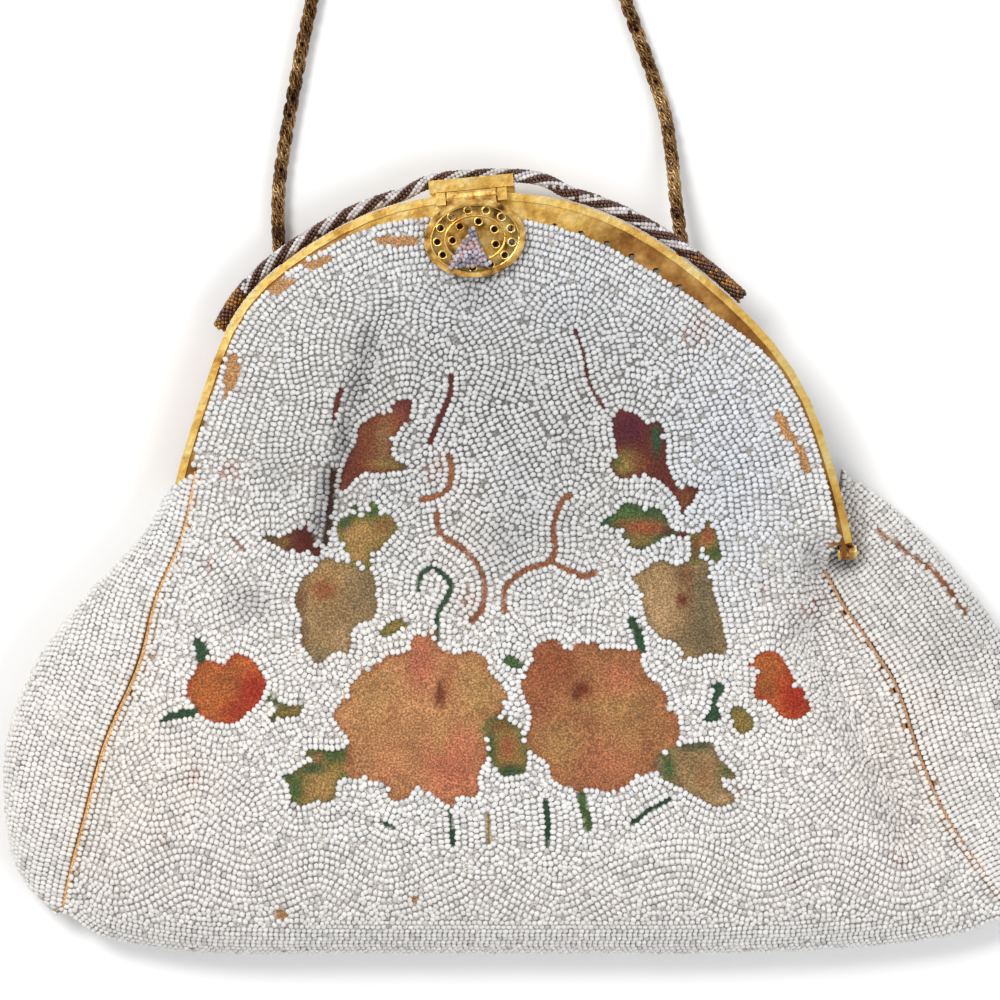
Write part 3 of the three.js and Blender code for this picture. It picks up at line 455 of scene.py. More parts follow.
# Motifs: colour, outline, then soft blobs (x, y, width, height, colour, strength)
MOTIFS = [
    (LEAF_OLIVE, [
        (306, 751), (318, 750), (335, 751), (350, 748), (351, 765), (352, 777), (340, 778), (337, 786),
        (335, 795), (328, 803), (318, 799), (310, 803), (300, 805), (293, 800), (290, 790), (288, 782),
        (281, 776), (290, 774), (296, 771), (303, 766), (309, 762), (308, 757),
    ], [
        (330, 755, 22, 8, GREEN, 1.0), (296, 788, 8, 18, GREEN, 1.0), (314, 769, 14, 6, DEEP_GREEN, 1.0),
        (286, 776, 6, 6, DEEP_GREEN, 1.0), (322, 788, 16, 14, ROSE_TAN, 0.8),
        (318, 757, 7, 4, ROSE_PINK, 0.6),
    ]),
    (PEACH, [
        (412, 640), (418, 634), (424, 638), (430, 634), (436, 642), (440, 650), (450, 652), (455, 655),
        (462, 653), (472, 651), (480, 655), (487, 660), (488, 670), (495, 678), (502, 685), (508, 697),
        (507, 703), (502, 710), (499, 717), (490, 722), (485, 730), (487, 738), (488, 748), (487, 760),
        (483, 765), (478, 772), (477, 782), (479, 790), (474, 797), (465, 795), (458, 800), (453, 806),
        (445, 803), (438, 797), (433, 795), (429, 789), (423, 790), (419, 786), (413, 790), (409, 797),
        (402, 800), (395, 801), (389, 797), (387, 790), (383, 783), (379, 780), (373, 781), (366, 778),
        (352, 777), (350, 760), (348, 742), (347, 735), (341, 730), (337, 724), (333, 715), (338, 707),
        (342, 702), (350, 698), (350, 688), (356, 680), (362, 674), (370, 672), (373, 665), (381, 663),
        (385, 657), (394, 655), (405, 653), (411, 648),
    ], [
        (421, 660, 16, 32, ROSE_PINK, 0.9), (452, 768, 34, 36, ROSE_PINK, 0.85),
        (482, 690, 22, 34, ROSE_TAN, 0.9), (465, 738, 20, 12, ROSE_PINK, 0.4),
        (372, 695, 24, 30, ROSE_TAN, 0.5), (392, 715, 6, 16, ROSE_BROWN, 0.3),
        (400, 745, 40, 4, ROSE_BROWN, 0.3), (440, 735, 8, 20, ROSE_TAN, 0.6),
        (390, 770, 16, 22, ROSE_PINK, 0.3), (448, 676, 7, 24, ROSE_BROWN, 0.45),
        (486, 715, 14, 5, ROSE_BROWN, 0.4), (440, 697, 6, 11, ROSE_HEART, 1.0),
        (440, 688, 3, 7, ROSE_HEART, 1.0),
    ]),
    (DARK_PEACH, [
        (533, 650), (538, 645), (546, 641), (556, 640), (561, 644), (565, 651), (572, 650), (577, 645),
        (585, 641), (593, 641), (599, 646), (605, 649), (615, 649), (628, 650), (637, 652), (640, 660),
        (643, 668), (647, 676), (650, 680), (658, 683), (663, 690), (666, 697), (668, 703), (667, 710),
        (673, 712), (678, 716), (678, 725), (680, 735), (675, 745), (670, 750), (661, 752), (661, 762),
        (657, 770), (648, 773), (640, 777), (632, 780), (625, 786), (617, 789), (608, 791), (600, 790),
        (592, 788), (583, 787), (576, 789), (565, 786), (556, 781), (551, 777), (550, 768), (547, 762),
        (540, 757), (533, 752), (530, 748), (526, 738), (530, 727), (532, 718), (530, 708), (526, 700),
        (523, 692), (521, 683), (523, 672), (530, 665), (534, 660),
    ], [
        (548, 664, 26, 26, ROSE_BROWN, 0.85), (538, 690, 14, 22, ROSE_BROWN, 0.6),
        (566, 668, 10, 18, ROSE_BROWN, 0.6), (620, 680, 16, 16, ROSE_PINK, 0.6),
        (606, 762, 32, 24, ROSE_PINK, 0.45), (630, 720, 30, 34, ROSE_TAN, 0.5),
        (560, 745, 24, 24, ROSE_TAN, 0.6), (562, 712, 30, 5, ROSE_BROWN, 0.4),
        (646, 738, 6, 30, ROSE_BROWN, 0.35), (600, 708, 34, 5, ROSE_TAN, 0.6),
        (582, 689, 10, 8, ROSE_HEART, 1.0), (576, 696, 5, 5, ROSE_HEART, 0.8),
    ]),
    (OLIVE, [
        (318, 562), (330, 558), (345, 562), (360, 566), (370, 570), (374, 577), (376, 588), (377, 600),
        (376, 612), (372, 620), (363, 622), (356, 626), (351, 634), (351, 645), (348, 653), (340, 652),
        (333, 653), (327, 658), (321, 663), (314, 662), (310, 655), (308, 650), (301, 645), (301, 632),
        (301, 615), (296, 608), (295, 598), (299, 588), (304, 577), (311, 573), (317, 567),
    ], [
        (326, 582, 20, 20, ROSE_TAN, 0.7), (324, 590, 12, 10, ROSE_BROWN, 0.9),
        (300, 600, 6, 14, MAROON, 0.7), (303, 635, 5, 18, BROWN, 0.7), (360, 592, 18, 26, OLIVE_SHADE, 0.5),
        (318, 655, 14, 12, OLIVE_SHADE, 0.6), (343, 640, 12, 14, OLIVE_LIGHT, 0.7),
    ]),
    (OLIVE, [
        (630, 577), (640, 572), (650, 566), (655, 562), (665, 561), (672, 565), (682, 565), (690, 560),
        (700, 559), (706, 562), (710, 570), (712, 582), (713, 593), (717, 605), (720, 615), (722, 625),
        (724, 635), (727, 645), (725, 654), (715, 653), (705, 654), (697, 657), (688, 656), (682, 650),
        (678, 645), (672, 640), (662, 638), (653, 629), (646, 620), (644, 608), (641, 597), (638, 586),
    ], [
        (660, 610, 20, 32, OLIVE_LIGHT, 0.9), (704, 606, 16, 46, OLIVE_SHADE, 0.9),
        (700, 640, 24, 16, OLIVE_SHADE, 0.6), (684, 574, 8, 12, BROWN, 0.6), (690, 590, 4, 30, BROWN, 0.4),
        (682, 600, 6, 8, ROSE_HEART, 1.0),
    ]),
    (LEAF_OLIVE, [
        (337, 530), (340, 520), (346, 518), (352, 515), (354, 506), (358, 507), (358, 515), (366, 515),
        (369, 505), (375, 502), (379, 511), (386, 514), (392, 517), (396, 524), (398, 526), (395, 532),
        (390, 538), (384, 543), (379, 550), (373, 553), (370, 562), (371, 569), (360, 566), (350, 562),
        (347, 553), (341, 545), (338, 537),
    ], [
        (345, 523, 8, 8, DEEP_GREEN, 1.0), (356, 510, 5, 8, DEEP_GREEN, 1.0), (373, 511, 9, 10, GREEN, 1.0),
        (360, 535, 18, 10, ROSE_TAN, 0.9), (385, 526, 12, 8, BROWN, 0.6), (358, 553, 10, 8, ROSE_TAN, 0.8),
    ]),
    (RUST, [
        (401, 401), (412, 402), (409, 417), (399, 429), (391, 450), (396, 461), (409, 468), (382, 473),
        (363, 473), (342, 491), (340, 481), (346, 462), (358, 438), (359, 427), (380, 414),
    ], [
        (403, 408, 12, 12, WINE, 0.9), (398, 420, 14, 14, ROSE_BROWN, 0.6), (350, 462, 14, 30, MAROON, 0.8),
        (392, 463, 20, 8, LEAF_OLIVE, 1.0), (405, 467, 8, 6, GREEN, 0.8), (385, 440, 10, 20, OLIVE, 0.5),
    ]),
    (MAROON, [
        (262, 537), (272, 536), (282, 538), (292, 533), (300, 527), (308, 526), (312, 533), (314, 541),
        (318, 547), (323, 550), (321, 557), (314, 556), (311, 549), (305, 551), (298, 553), (290, 553),
        (283, 549), (277, 545), (268, 541),
    ], [
        (268, 539, 12, 6, GREEN, 0.9), (281, 543, 9, 7, LEAF_OLIVE, 0.8),
    ]),
    (MAROON, [
        (614, 420), (617, 413), (624, 411), (633, 413), (640, 418), (646, 425), (652, 424), (658, 421),
        (663, 428), (666, 440), (666, 455), (668, 468), (672, 478), (678, 487), (684, 490), (688, 486),
        (695, 488), (699, 490), (694, 498), (691, 506), (688, 516), (683, 515), (680, 505), (676, 497),
        (670, 490), (664, 484), (656, 478), (645, 477), (630, 478), (618, 477), (612, 468), (611, 461),
        (616, 455), (615, 442), (613, 430),
    ], [
        (630, 428, 18, 16, WINE, 1.0), (657, 436, 6, 20, DEEP_GREEN, 1.0),
        (626, 464, 14, 14, LEAF_OLIVE, 1.0), (614, 463, 6, 8, GREEN, 0.8), (684, 500, 8, 16, BROWN, 0.9),
        (640, 466, 10, 10, RUST, 0.7),
    ]),
    (GREEN, [
        (600, 525), (608, 518), (616, 514), (622, 505), (630, 503), (640, 506), (652, 508), (660, 510),
        (666, 518), (669, 527), (675, 531), (668, 536), (660, 540), (652, 545), (643, 549), (635, 549),
        (628, 545), (622, 538), (620, 530), (610, 527),
    ], [
        (645, 528, 26, 9, ROSE_BROWN, 1.0), (620, 524, 8, 5, RUST, 0.7), (640, 542, 16, 6, LEAF_OLIVE, 1.0),
        (606, 521, 8, 6, DEEP_GREEN, 0.7), (668, 531, 6, 5, MAROON, 1.0),
    ]),
    (LEAF_OLIVE, [
        (690, 537), (695, 535), (702, 530), (706, 521), (712, 522), (715, 530), (718, 540), (720, 552),
        (720, 560), (712, 559), (706, 553), (701, 548), (700, 558), (692, 560), (691, 548),
    ], [
        (707, 534, 8, 12, ROSE_BROWN, 1.0), (715, 553, 7, 7, GREEN, 1.0), (695, 548, 5, 12, BROWN, 1.0),
    ]),
    (ORANGE, [
        (201, 660), (225, 664), (236, 654), (252, 660), (262, 673), (266, 685), (260, 700), (249, 711),
        (237, 722), (214, 722), (197, 710), (189, 698), (188, 684), (197, 670),
    ], [
        (253, 690, 18, 22, RED, 1.0), (236, 712, 18, 14, RED, 0.8), (232, 680, 14, 12, RUST, 0.5),
        (212, 690, 16, 20, ORANGE, 0.6),
    ]),
    (ORANGE, [
        (755, 658), (769, 651), (781, 658), (789, 672), (797, 685), (804, 692), (808, 709), (799, 719),
        (788, 719), (776, 711), (768, 701), (755, 697), (756, 677),
    ], [
        (795, 700, 18, 22, RED, 1.0), (784, 684, 12, 16, RED, 0.5), (764, 690, 12, 12, RUST, 0.5),
    ]),
    (LEAF_OLIVE, [
        (484, 726), (490, 722), (498, 716), (504, 718), (510, 722), (515, 726), (520, 730), (523, 738),
        (527, 744), (530, 750), (523, 752), (527, 757), (526, 765), (524, 773), (512, 775), (503, 776),
        (497, 768), (490, 760), (488, 748), (487, 738),
    ], [
        (491, 750, 5, 22, DEEP_GREEN, 1.0), (510, 771, 16, 7, DEEP_GREEN, 1.0),
        (508, 748, 9, 14, ROSE_BROWN, 0.9), (500, 724, 14, 7, BROWN, 0.7),
        (522, 742, 5, 10, OLIVE_SHADE, 0.6),
    ]),
    (OLIVE, [
        (677, 748), (685, 745), (695, 743), (705, 742), (712, 743), (715, 750), (718, 757), (723, 762),
        (728, 767), (733, 772), (736, 777), (731, 779), (722, 778), (722, 786), (728, 790), (735, 797),
        (732, 803), (722, 806), (712, 805), (703, 800), (697, 797), (690, 793), (683, 788), (675, 785),
        (667, 781), (661, 776), (661, 765), (661, 755),
    ], [
        (695, 746, 20, 5, DEEP_GREEN, 1.0), (668, 768, 8, 18, GREEN, 1.0), (728, 770, 10, 7, GREEN, 0.9),
        (724, 799, 12, 7, OLIVE_LIGHT, 0.9), (704, 776, 8, 12, ROSE_BROWN, 0.35),
    ]),
    (DEEP_GREEN, [
        (196, 637), (209, 652), (201, 659), (196, 651),
    ], []),
    (DEEP_GREEN, [
        (159, 721), (174, 712), (193, 707), (196, 713), (174, 720),
    ], []),
    (LEAF_OLIVE, [
        (267, 697), (289, 706), (301, 705), (299, 715), (280, 719), (260, 729), (273, 714), (279, 708),
    ], [
        (270, 724, 14, 6, DEEP_GREEN, 0.9), (272, 700, 10, 6, DEEP_GREEN, 0.8),
    ]),
    (DEEP_GREEN, [
        (716, 684), (725, 687), (717, 704), (721, 719), (703, 721), (711, 708),
    ], []),
    (LEAF_OLIVE, [
        (732, 708), (745, 710), (754, 726), (742, 734), (732, 723),
    ], []),
    (LEAF_OLIVE, [
        (380, 633), (391, 622), (403, 619), (399, 630), (387, 637),
    ], []),
    (GREEN, [
        (498, 655), (511, 656), (523, 664), (521, 670), (508, 665),
    ], []),
]

# Leaves have green edges; other motifs are darker at the edge
MOTIF_EDGES = {
    tuple(LEAF_OLIVE): GREEN, tuple(GREEN): DEEP_GREEN, tuple(OLIVE): OLIVE_SHADE, tuple(ORANGE): RED,
    tuple(DEEP_GREEN): DEEP_GREEN, tuple(MAROON): MAROON, tuple(RUST): MAROON,
}
EDGE_STRENGTH = 0.45
# Width of the edge, how far the print goes on under the beads and room round a motif, in chart units
MOTIF_EDGE, MOTIF_SPREAD, MOTIF_MARGIN = 4, 3, 6
BLOB_POWER = 1.5

# Lines: colour, half width, points
LINES = [
    (MAROON, 2.6, [(451, 376), (450, 395), (441, 416), (430, 443)]),
    (STEM, 2.8, [(449, 456), (452, 472), (448, 488), (437, 496), (420, 500)]),
    (STEM, 2.9, [(436, 510), (441, 533), (464, 550), (480, 569), (485, 590), (481, 610), (471, 622)]),
    (STEM, 2.8, [
        (504, 612), (506, 587), (526, 570), (549, 562), (555, 549), (554, 523), (563, 500), (571, 495),
    ]),
    (STEM, 3.2, [(552, 562), (566, 569), (582, 576), (595, 573)]),
    (MAROON, 2.2, [(341, 390), (336, 404), (334, 420)]),
    (MAROON, 1.3, [(575, 330), (583, 352), (590, 384), (604, 408)]),
    (DEEP_GREEN, 2.6, [(418, 590), (422, 573), (436, 570), (451, 584), (447, 598), (438, 614), (437, 640)]),
    (DEEP_GREEN, 2.4, [(449, 804), (452, 824), (453, 845)]),
    (LEAF_OLIVE, 2.6, [(487, 814), (489, 842)]),
    (DEEP_GREEN, 2.6, [(545, 800), (548, 822), (547, 845)]),
    (GREEN, 4.4, [(580, 791), (585, 810), (588, 829)]),
    (DEEP_GREEN, 2.2, [(631, 824), (646, 812), (670, 799)]),
    (DEEP_GREEN, 4.2, [(632, 620), (638, 634), (642, 653)]),
    (STEM, 1.6, [(231, 536), (245, 551)]),
    (MAROON, 2.2, [(670, 532), (690, 536)]),
    # Painted shadow: a bare dark brown line in the hollow of the fold left of the bud
    (HOLLOW_SHADOW, 3.0, [(333, 470), (332, 490), (329, 515), (327, 532), (325, 545)]),
    (DEEP_GREEN, 2.2, [(381, 822), (394, 828)]),
]
# The print of a line goes on this far under the beads
LINE_MARGIN = 1.2

# Bare places where the silk shows: colour and outline
BARE_PATCHES = [
    # Under the plaque the silk is bare and darker than elsewhere, as painted shade under the plaque
    (SHADED_SILK_UNDER_PLAQUE, [(432, 243), (440, 227), (456, 217), (474, 213), (492, 217), (505, 227), (511, 243),
                 (504, 258), (489, 268), (472, 271), (453, 267), (440, 258)]),
    (SILK, [(276, 907), (287, 910), (286, 920), (275, 918)]),
    (SILK, [(410, 893), (420, 899), (412, 904)]),
    (SILK, [(774, 410), (786, 415), (796, 436), (806, 452), (811, 472), (800, 470), (793, 448), (779, 432)]),
    (SILK, [(268, 283), (286, 278), (298, 281), (282, 292), (270, 296)]),
    (SILK, [(300, 263), (326, 255), (336, 259), (312, 271)]),
    (SILK, [(370, 240), (392, 235), (416, 236), (416, 245), (390, 247)]),
    (SILK, [(226, 360), (238, 352), (240, 370), (232, 392), (224, 398)]),
]
# Brown stains between the beads: x, y, size
STAINS = [
    (150, 654, 7), (195, 778, 12), (21, 752, 6), (37, 897, 5), (129, 673, 6), (164, 842, 7), (211, 565, 7),
    (71, 863, 6), (74, 781, 6), (24, 786, 5), (739, 790, 6), (795, 882, 5), (900, 860, 10), (938, 697, 12),
    (763, 586, 7), (812, 604, 16), (440, 470, 16), (470, 600, 16), (230, 470, 12), (700, 330, 18),
]
STAIN_STRENGTH = 0.9
STAIN_ON_BEADS = 0.12
SEAM_STAIN = 6.0
# Painted shade between the beads of the upper field, where the silk under them is darker: x, y, width,
# height, tone, strength
GAP_SHADE_FIELD = (500, 400, 300, 190, UNDER_GAP_SHADE, 1)
# Open seam of the right gusset: half width, points
GUSSET_SEAM = (3.2, [(878, 531), (909, 554), (938, 576), (966, 614)])

# Painted shade in the folds and on the slopes of the front and right gusset, under the clasp plaque and under
# the right hinge, on the chart: x, y, width, height, strength
FOLD_SHADE_SPOTS = [
    (366, 346, 13, 24, 0.4), (357, 384, 13, 24, 0.5), (343, 440, 11, 24, 0.75), (328, 488, 12, 24, 0.9),
    (318, 526, 12, 18, 0.75), (250, 602, 28, 20, 0.42), (960, 640, 40, 40, 0.25), (470, 292, 22, 20, 0.3),
    (500, 540, 40, 36, 0.25), (280, 472, 26, 30, 0.22), (842, 566, 14, 10, 0.85),
]
# Tints of the beading on the chart: x, y, width, height, tone, strength. Cool tints are a painted bluish sky
# reflection and grey ones are painted shade; warm ones make beads warmer, mostly low down
TINTS = [
    (520, 330, 170, 110, COOL_SKY_REFLECTION, 0.9),
    (480, 420, 260, 170, FIELD_SHADE, 0.9),
    (510, 500, 120, 70, FIELD_SHADE, 0.6),
    (900, 580, 120, 80, FIELD_SHADE, 0.5),
    (730, 470, 70, 130, COOL_SKY_REFLECTION, 0.7),
    (470, 500, 90, 100, COOL_SKY_REFLECTION, 0.4),
    (130, 780, 160, 160, WARM, 0.8),
    (890, 760, 150, 160, WARM, 0.7),
    (500, 900, 380, 70, WARM, 0.4),
    (380, 660, 90, 60, WARM, 0.6),
    (460, 540, 40, 90, WARM, 0.6),
]

# The chart's field of beads goes on to these corners from the two ends of the frame
FIELD_CORNERS = [(840, 465), (1100, 440), (1100, 1100), (-100, 1100), (-100, 470)]
# The beading ends along the frame between these angles
BEAD_EDGE_ENDS = 149, 9
# Winding lines that rows of beads follow, on the chart
MEANDERS = [
    [(335, 300), (322, 350), (330, 400), (318, 450)],
    [(470, 320), (490, 360), (476, 410), (500, 460), (520, 500)],
    [(690, 380), (712, 430), (735, 470), (742, 520)],
    [(800, 560), (806, 600), (830, 640), (850, 700)],
    [(215, 560), (240, 600), (205, 620)],
    [(125, 760), (150, 800), (200, 790), (240, 815)],
    [(820, 770), (850, 800), (900, 820)],
    [(60, 868), (120, 892), (185, 866), (250, 884), (320, 862), (385, 890), (450, 866)],
    [(500, 872), (560, 902), (620, 872), (690, 858), (760, 884), (830, 862), (900, 890), (960, 868)],
]
# The same on the back, in millimetres
BACK_MEANDERS = [
    [(-50, -30), (-30, -20), (-10, -34), (12, -22), (36, -32), (62, -20)],
    [(-46, 2), (-22, 12), (0, 0), (24, 10), (50, -2)],
    [(-36, 36), (-14, 44), (8, 34), (30, 44)],
    [(-20, 64), (0, 70), (22, 62)],
]


# The silk's print and where the beading leaves it bare, worked out on the chart
def bead_edge():
    return even_steps(to_chart(cloth_on_arm(np.linspace(*BEAD_EDGE_ENDS, LONG_EDGE), 1)), CHART_STEP)


def spotted(colours, places, spots, power=1):
    """Colours with soft oval spots laid over them in turn: x, y, width, height, tone and strength."""
    for x, y, width, height, tone, strength in spots:
        distance = ((places[..., 0] - x) / width) ** 2 + ((places[..., 1] - y) / height) ** 2
        colours = colours + (tone - colours) * (strength * np.exp(-distance ** power))[..., None]
    return colours


# Spots of painted shade in the folds, in one tone
def fold_shade_spots(tone):
    return [(x, y, width, height, tone, strength) for x, y, width, height, strength in FOLD_SHADE_SPOTS]


def stain_spots(strength):
    return [(x, y, size, size, STAIN, strength) for x, y, size in STAINS]


def window(points, margin=0):
    """The part of the chart round some points, as slices of its rows and columns."""
    low = np.clip(np.floor(points.min(0) - margin).astype(int), 0, CHART_SIZE)
    high = np.clip(np.ceil(points.max(0) + margin).astype(int) + 1, 0, CHART_SIZE)
    return slice(low[1], high[1]), slice(low[0], high[0])


def thick_line(places, points, half_width):
    """The part of the chart round a line, and which of its places the line covers."""
    line = smooth_line(points, False, FINE_STEP)
    area = window(line, half_width)
    around = places[area]
    near = np.full(around.shape[:2], np.inf)
    for point in line:
        near = np.minimum(near, np.sum((around - point) ** 2, axis=-1))
    return area, np.sqrt(near) <= half_width


def shrunk(mask, passes):
    mask = mask.copy()
    for _ in range(passes):
        mask[1:-1, 1:-1] &= mask[:-2, 1:-1] & mask[2:, 1:-1] & mask[1:-1, :-2] & mask[1:-1, 2:]
    return mask


def paint_chart():
    """The silk's colour, and whether it is bare, at every place of the chart."""
    y_all, x_all = np.mgrid[0:CHART_SIZE, 0:CHART_SIZE].astype(float)
    places = np.stack([x_all, y_all], -1)
    # Painted shade between the beads of the upper field and in the folds, then stains
    spots = [GAP_SHADE_FIELD] + fold_shade_spots(UNDER_FOLD_SHADE) + stain_spots(STAIN_STRENGTH)
    colour = spotted(np.tile(UNDER_BEADS, (CHART_SIZE, CHART_SIZE, 1)), places, spots)
    bare = ~is_inside(np.vstack([bead_edge(), FIELD_CORNERS]), places)
    colour[bare] = SILK
    for tone, outline in BARE_PATCHES:
        shape = smooth_line(outline, True)
        area = window(shape)
        inside = is_inside(shape, places[area])
        colour[area][inside] = tone
        bare[area] |= inside
    for tone, half_width, points in LINES:
        area, inside = thick_line(places, points, half_width + LINE_MARGIN)
        colour[area][inside] = tone
        area, inside = thick_line(places, points, half_width)
        bare[area] |= inside
    for tone, outline, blobs in MOTIFS:
        shape = ragged(smooth_line(outline, True))
        area = window(shape, MOTIF_MARGIN)
        around = places[area]
        paint = spotted(np.tile(tone, around.shape[:2] + (1,)), around, blobs, BLOB_POWER)
        inside = is_inside(shape, around)
        edge = ~shrunk(inside, MOTIF_EDGE)
        edge_tone = MOTIF_EDGES.get(tuple(tone), ROSE_BROWN)
        paint[edge] += (edge_tone - paint[edge]) * EDGE_STRENGTH
        spread = ~shrunk(~inside, MOTIF_SPREAD)
        colour[area][spread] = paint[spread]
        bare[area] |= inside
    rows = np.linspace(0, SEAM_ROWS, COARSE_EDGE)
    for name in SIDES:
        area, inside = thick_line(places, to_chart(side_curve(name, "front", rows)), SEAM_STAIN)
        colour[area][inside] = SILK
    half_width, points = GUSSET_SEAM
    area, inside = thick_line(places, points, half_width)
    colour[area][inside] = STEM
    bare[area] |= inside
    return colour, bare


def at_chart(values, places):
    index = np.clip(np.round(places).astype(int), 0, CHART_SIZE - 1)
    return values[index[..., 1], index[..., 0]]


# Shapes, each an array of points and a list of face arrays, one for each number of corners
def corners(grid):
    """The corners of every cell of a grid, in turn round the cell."""
    return grid[:-1, :-1], grid[:-1, 1:], grid[1:, 1:], grid[1:, :-1]


def cells(index):
    return np.stack(corners(index), -1).reshape(-1, 4)


def wall_shape(outer, normals):
    """Closed cloth wall: a fine outer side, and an inner side with fewer points."""
    rows, columns = outer.shape[:2]
    inner = (outer - normals * SILK_THICK)[::INNER_STRIDE, ::INNER_STRIDE]
    index = np.arange(rows * columns).reshape(rows, columns)
    back = rows * columns + np.arange(inner.size // 3).reshape(inner.shape[:2])

    def rim(fine, coarse):
        first = np.arange(len(coarse) - 1)[:, None] * INNER_STRIDE
        return np.hstack([fine[first + np.arange(INNER_STRIDE + 1)], coarse[1:, None], coarse[:-1, None]])

    rims = np.vstack([
        rim(index[0], back[0])[:, ::-1],
        rim(index[-1], back[-1]),
        rim(index[:, 0], back[:, 0]),
        rim(index[:, -1], back[:, -1])[:, ::-1],
    ])
    points = np.vstack([outer.reshape(-1, 3), inner.reshape(-1, 3)])
    return points, [cells(index), cells(back)[:, ::-1], rims]


def bead_shape(segments, latitudes, has_tip):
    """A round bead of unit half sizes, x along the row and z up; closed below by a tip or a flat."""
    turn = 2 * np.pi * (np.arange(segments) + 0.5) / segments
    flat_side = 1 / math.cos(np.pi / segments)
    points = [(0, 0, 1)]
    for latitude in np.radians(latitudes):
        ring = np.column_stack([np.cos(turn), np.sin(turn)]) * math.cos(latitude) * flat_side
        points += [(x, y, math.sin(latitude)) for x, y in ring]
    k = np.arange(segments)
    following = (k + 1) % segments
    tris = [np.column_stack([np.zeros(segments, int), 1 + k, 1 + following])]
    quads = []
    for ring in range(len(latitudes) - 1):
        top, low = 1 + ring * segments, 1 + (ring + 1) * segments
        quads.append(np.column_stack([top + k, low + k, low + following, top + following]))
    faces = [np.vstack(quads)]
    last = 1 + (len(latitudes) - 1) * segments
    if has_tip:
        points.append((0, 0, -1))
        tris.append(np.column_stack([last + following, last + k, np.full(segments, len(points) - 1)]))
    else:
        faces.append((last + k[::-1])[None])
    return np.array(points), [np.vstack(tris)] + faces


FINE_BEAD = bead_shape(segments=6, latitudes=(42, -12), has_tip=False)
PLAIN_BEAD = bead_shape(segments=5, latitudes=(42, -12), has_tip=False)
ROUND_BEAD = bead_shape(segments=8, latitudes=(45, 0, -45), has_tip=True)


def many(shape, centres, along, up, sizes):
    """Copies of a shape at the centres, with x along the row and z up; sizes are full sizes."""
    across = unit(np.cross(up, along))
    along = np.cross(across, up)
    local = shape[0][None] * (np.asarray(sizes) / 2)[:, None]
    points = centres[:, None] + local[..., :1] * along[:, None] + local[..., 1:2] * across[:, None]
    points = points + local[..., 2:] * up[:, None]
    shift = (np.arange(len(centres)) * len(shape[0]))[:, None, None]
    faces = [(f[None] + shift).reshape(-1, f.shape[1]) for f in shape[1]]
    return points.reshape(-1, 3), faces


def tube(line, radius, sides):
    """A round tube along a line, closed at its ends."""
    along = unit(np.gradient(line, axis=0))
    side = unit(np.cross(along, (0, 0, 1)))
    up = np.cross(side, along)
    turn = 2 * np.pi * np.arange(sides) / sides
    out = np.cos(turn)[:, None] * side[:, None] + np.sin(turn)[:, None] * up[:, None]
    ring = np.arange(sides)
    following = np.roll(ring, -1)
    start = (np.arange(len(line) - 1) * sides)[:, None]
    quads = np.stack([start + ring, start + sides + ring, start + sides + following, start + following], -1)
    caps = np.stack([ring, (len(line) - 1) * sides + ring[::-1]])
    return (line[:, None] + radius * out).reshape(-1, 3), [quads.reshape(-1, 4), caps]


def rings(centres, a, b, radii, wire, around=10, sides=5):
    """Oval wire rings, with half lengths along the unit vectors a and b."""
    i, j = np.meshgrid(np.arange(around), np.arange(sides), indexing="ij")
    turn, roll = 2 * np.pi * i.ravel()[:, None] / around, 2 * np.pi * j.ravel()[:, None] / sides
    a, b = a[:, None], b[:, None]
    middle = np.cos(turn) * a * radii[0] + np.sin(turn) * b * radii[1]
    out = np.cos(turn) * a + np.sin(turn) * b
    points = centres[:, None] + middle + wire * (np.cos(roll) * out + np.sin(roll) * np.cross(a, b))
    i2, j2 = (i + 1) % around, (j + 1) % sides
    quads = np.stack([i * sides + j, i2 * sides + j, i2 * sides + j2, i * sides + j2], -1).reshape(-1, 4)
    shift = (np.arange(len(centres)) * around * sides)[:, None, None]
    return points.reshape(-1, 3), [(quads[None] + shift).reshape(-1, 4)]


def joined(shapes):
    """Several shapes as one."""
    starts = np.cumsum([0] + [len(points) for points, _ in shapes])
    faces = [f + start for (_, shape_faces), start in zip(shapes, starts) for f in shape_faces]
    return np.vstack([points for points, _ in shapes]), faces


# Objects
def add_object(name, data):
    made = bpy.data.objects.new(name, data)
    bpy.context.scene.collection.objects.link(made)
    return made


def new_piece(name, shape, materials, body, tints=None, numbers=None):
    """A piece from a shape in millimetres, with tints of its points and material numbers of its faces."""
    points, faces = shape
    mesh = bpy.data.meshes.new(name)
    order = np.concatenate([f.ravel() for f in faces]).astype(np.int32)
    sizes = np.concatenate([np.full(len(f), f.shape[1]) for f in faces])
    starts = np.concatenate([[0], np.cumsum(sizes)[:-1]]).astype(np.int32)
    mesh.vertices.add(len(points))
    mesh.vertices.foreach_set("co", (np.asarray(points) * MM).astype(np.float32).ravel())
    mesh.loops.add(len(order))
    mesh.loops.foreach_set("vertex_index", order)
    mesh.polygons.add(len(sizes))
    mesh.polygons.foreach_set("loop_start", starts)
    if numbers is not None:
        mesh.polygons.foreach_set("material_index", np.asarray(numbers, np.int32))
    mesh.polygons.foreach_set("use_smooth", np.ones(len(sizes), bool))
    mesh.update(calc_edges=True)
    mesh.validate()
    for material in materials:
        mesh.materials.append(material)
    if tints is not None:
        layer = mesh.attributes.new("tint", "FLOAT_COLOR", "POINT")
        rgba = np.column_stack([tints, np.ones(len(tints))]).astype(np.float32)
        layer.data.foreach_set("color", rgba.ravel())
    piece = add_object(name, mesh)
    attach(piece, body)
    return piece


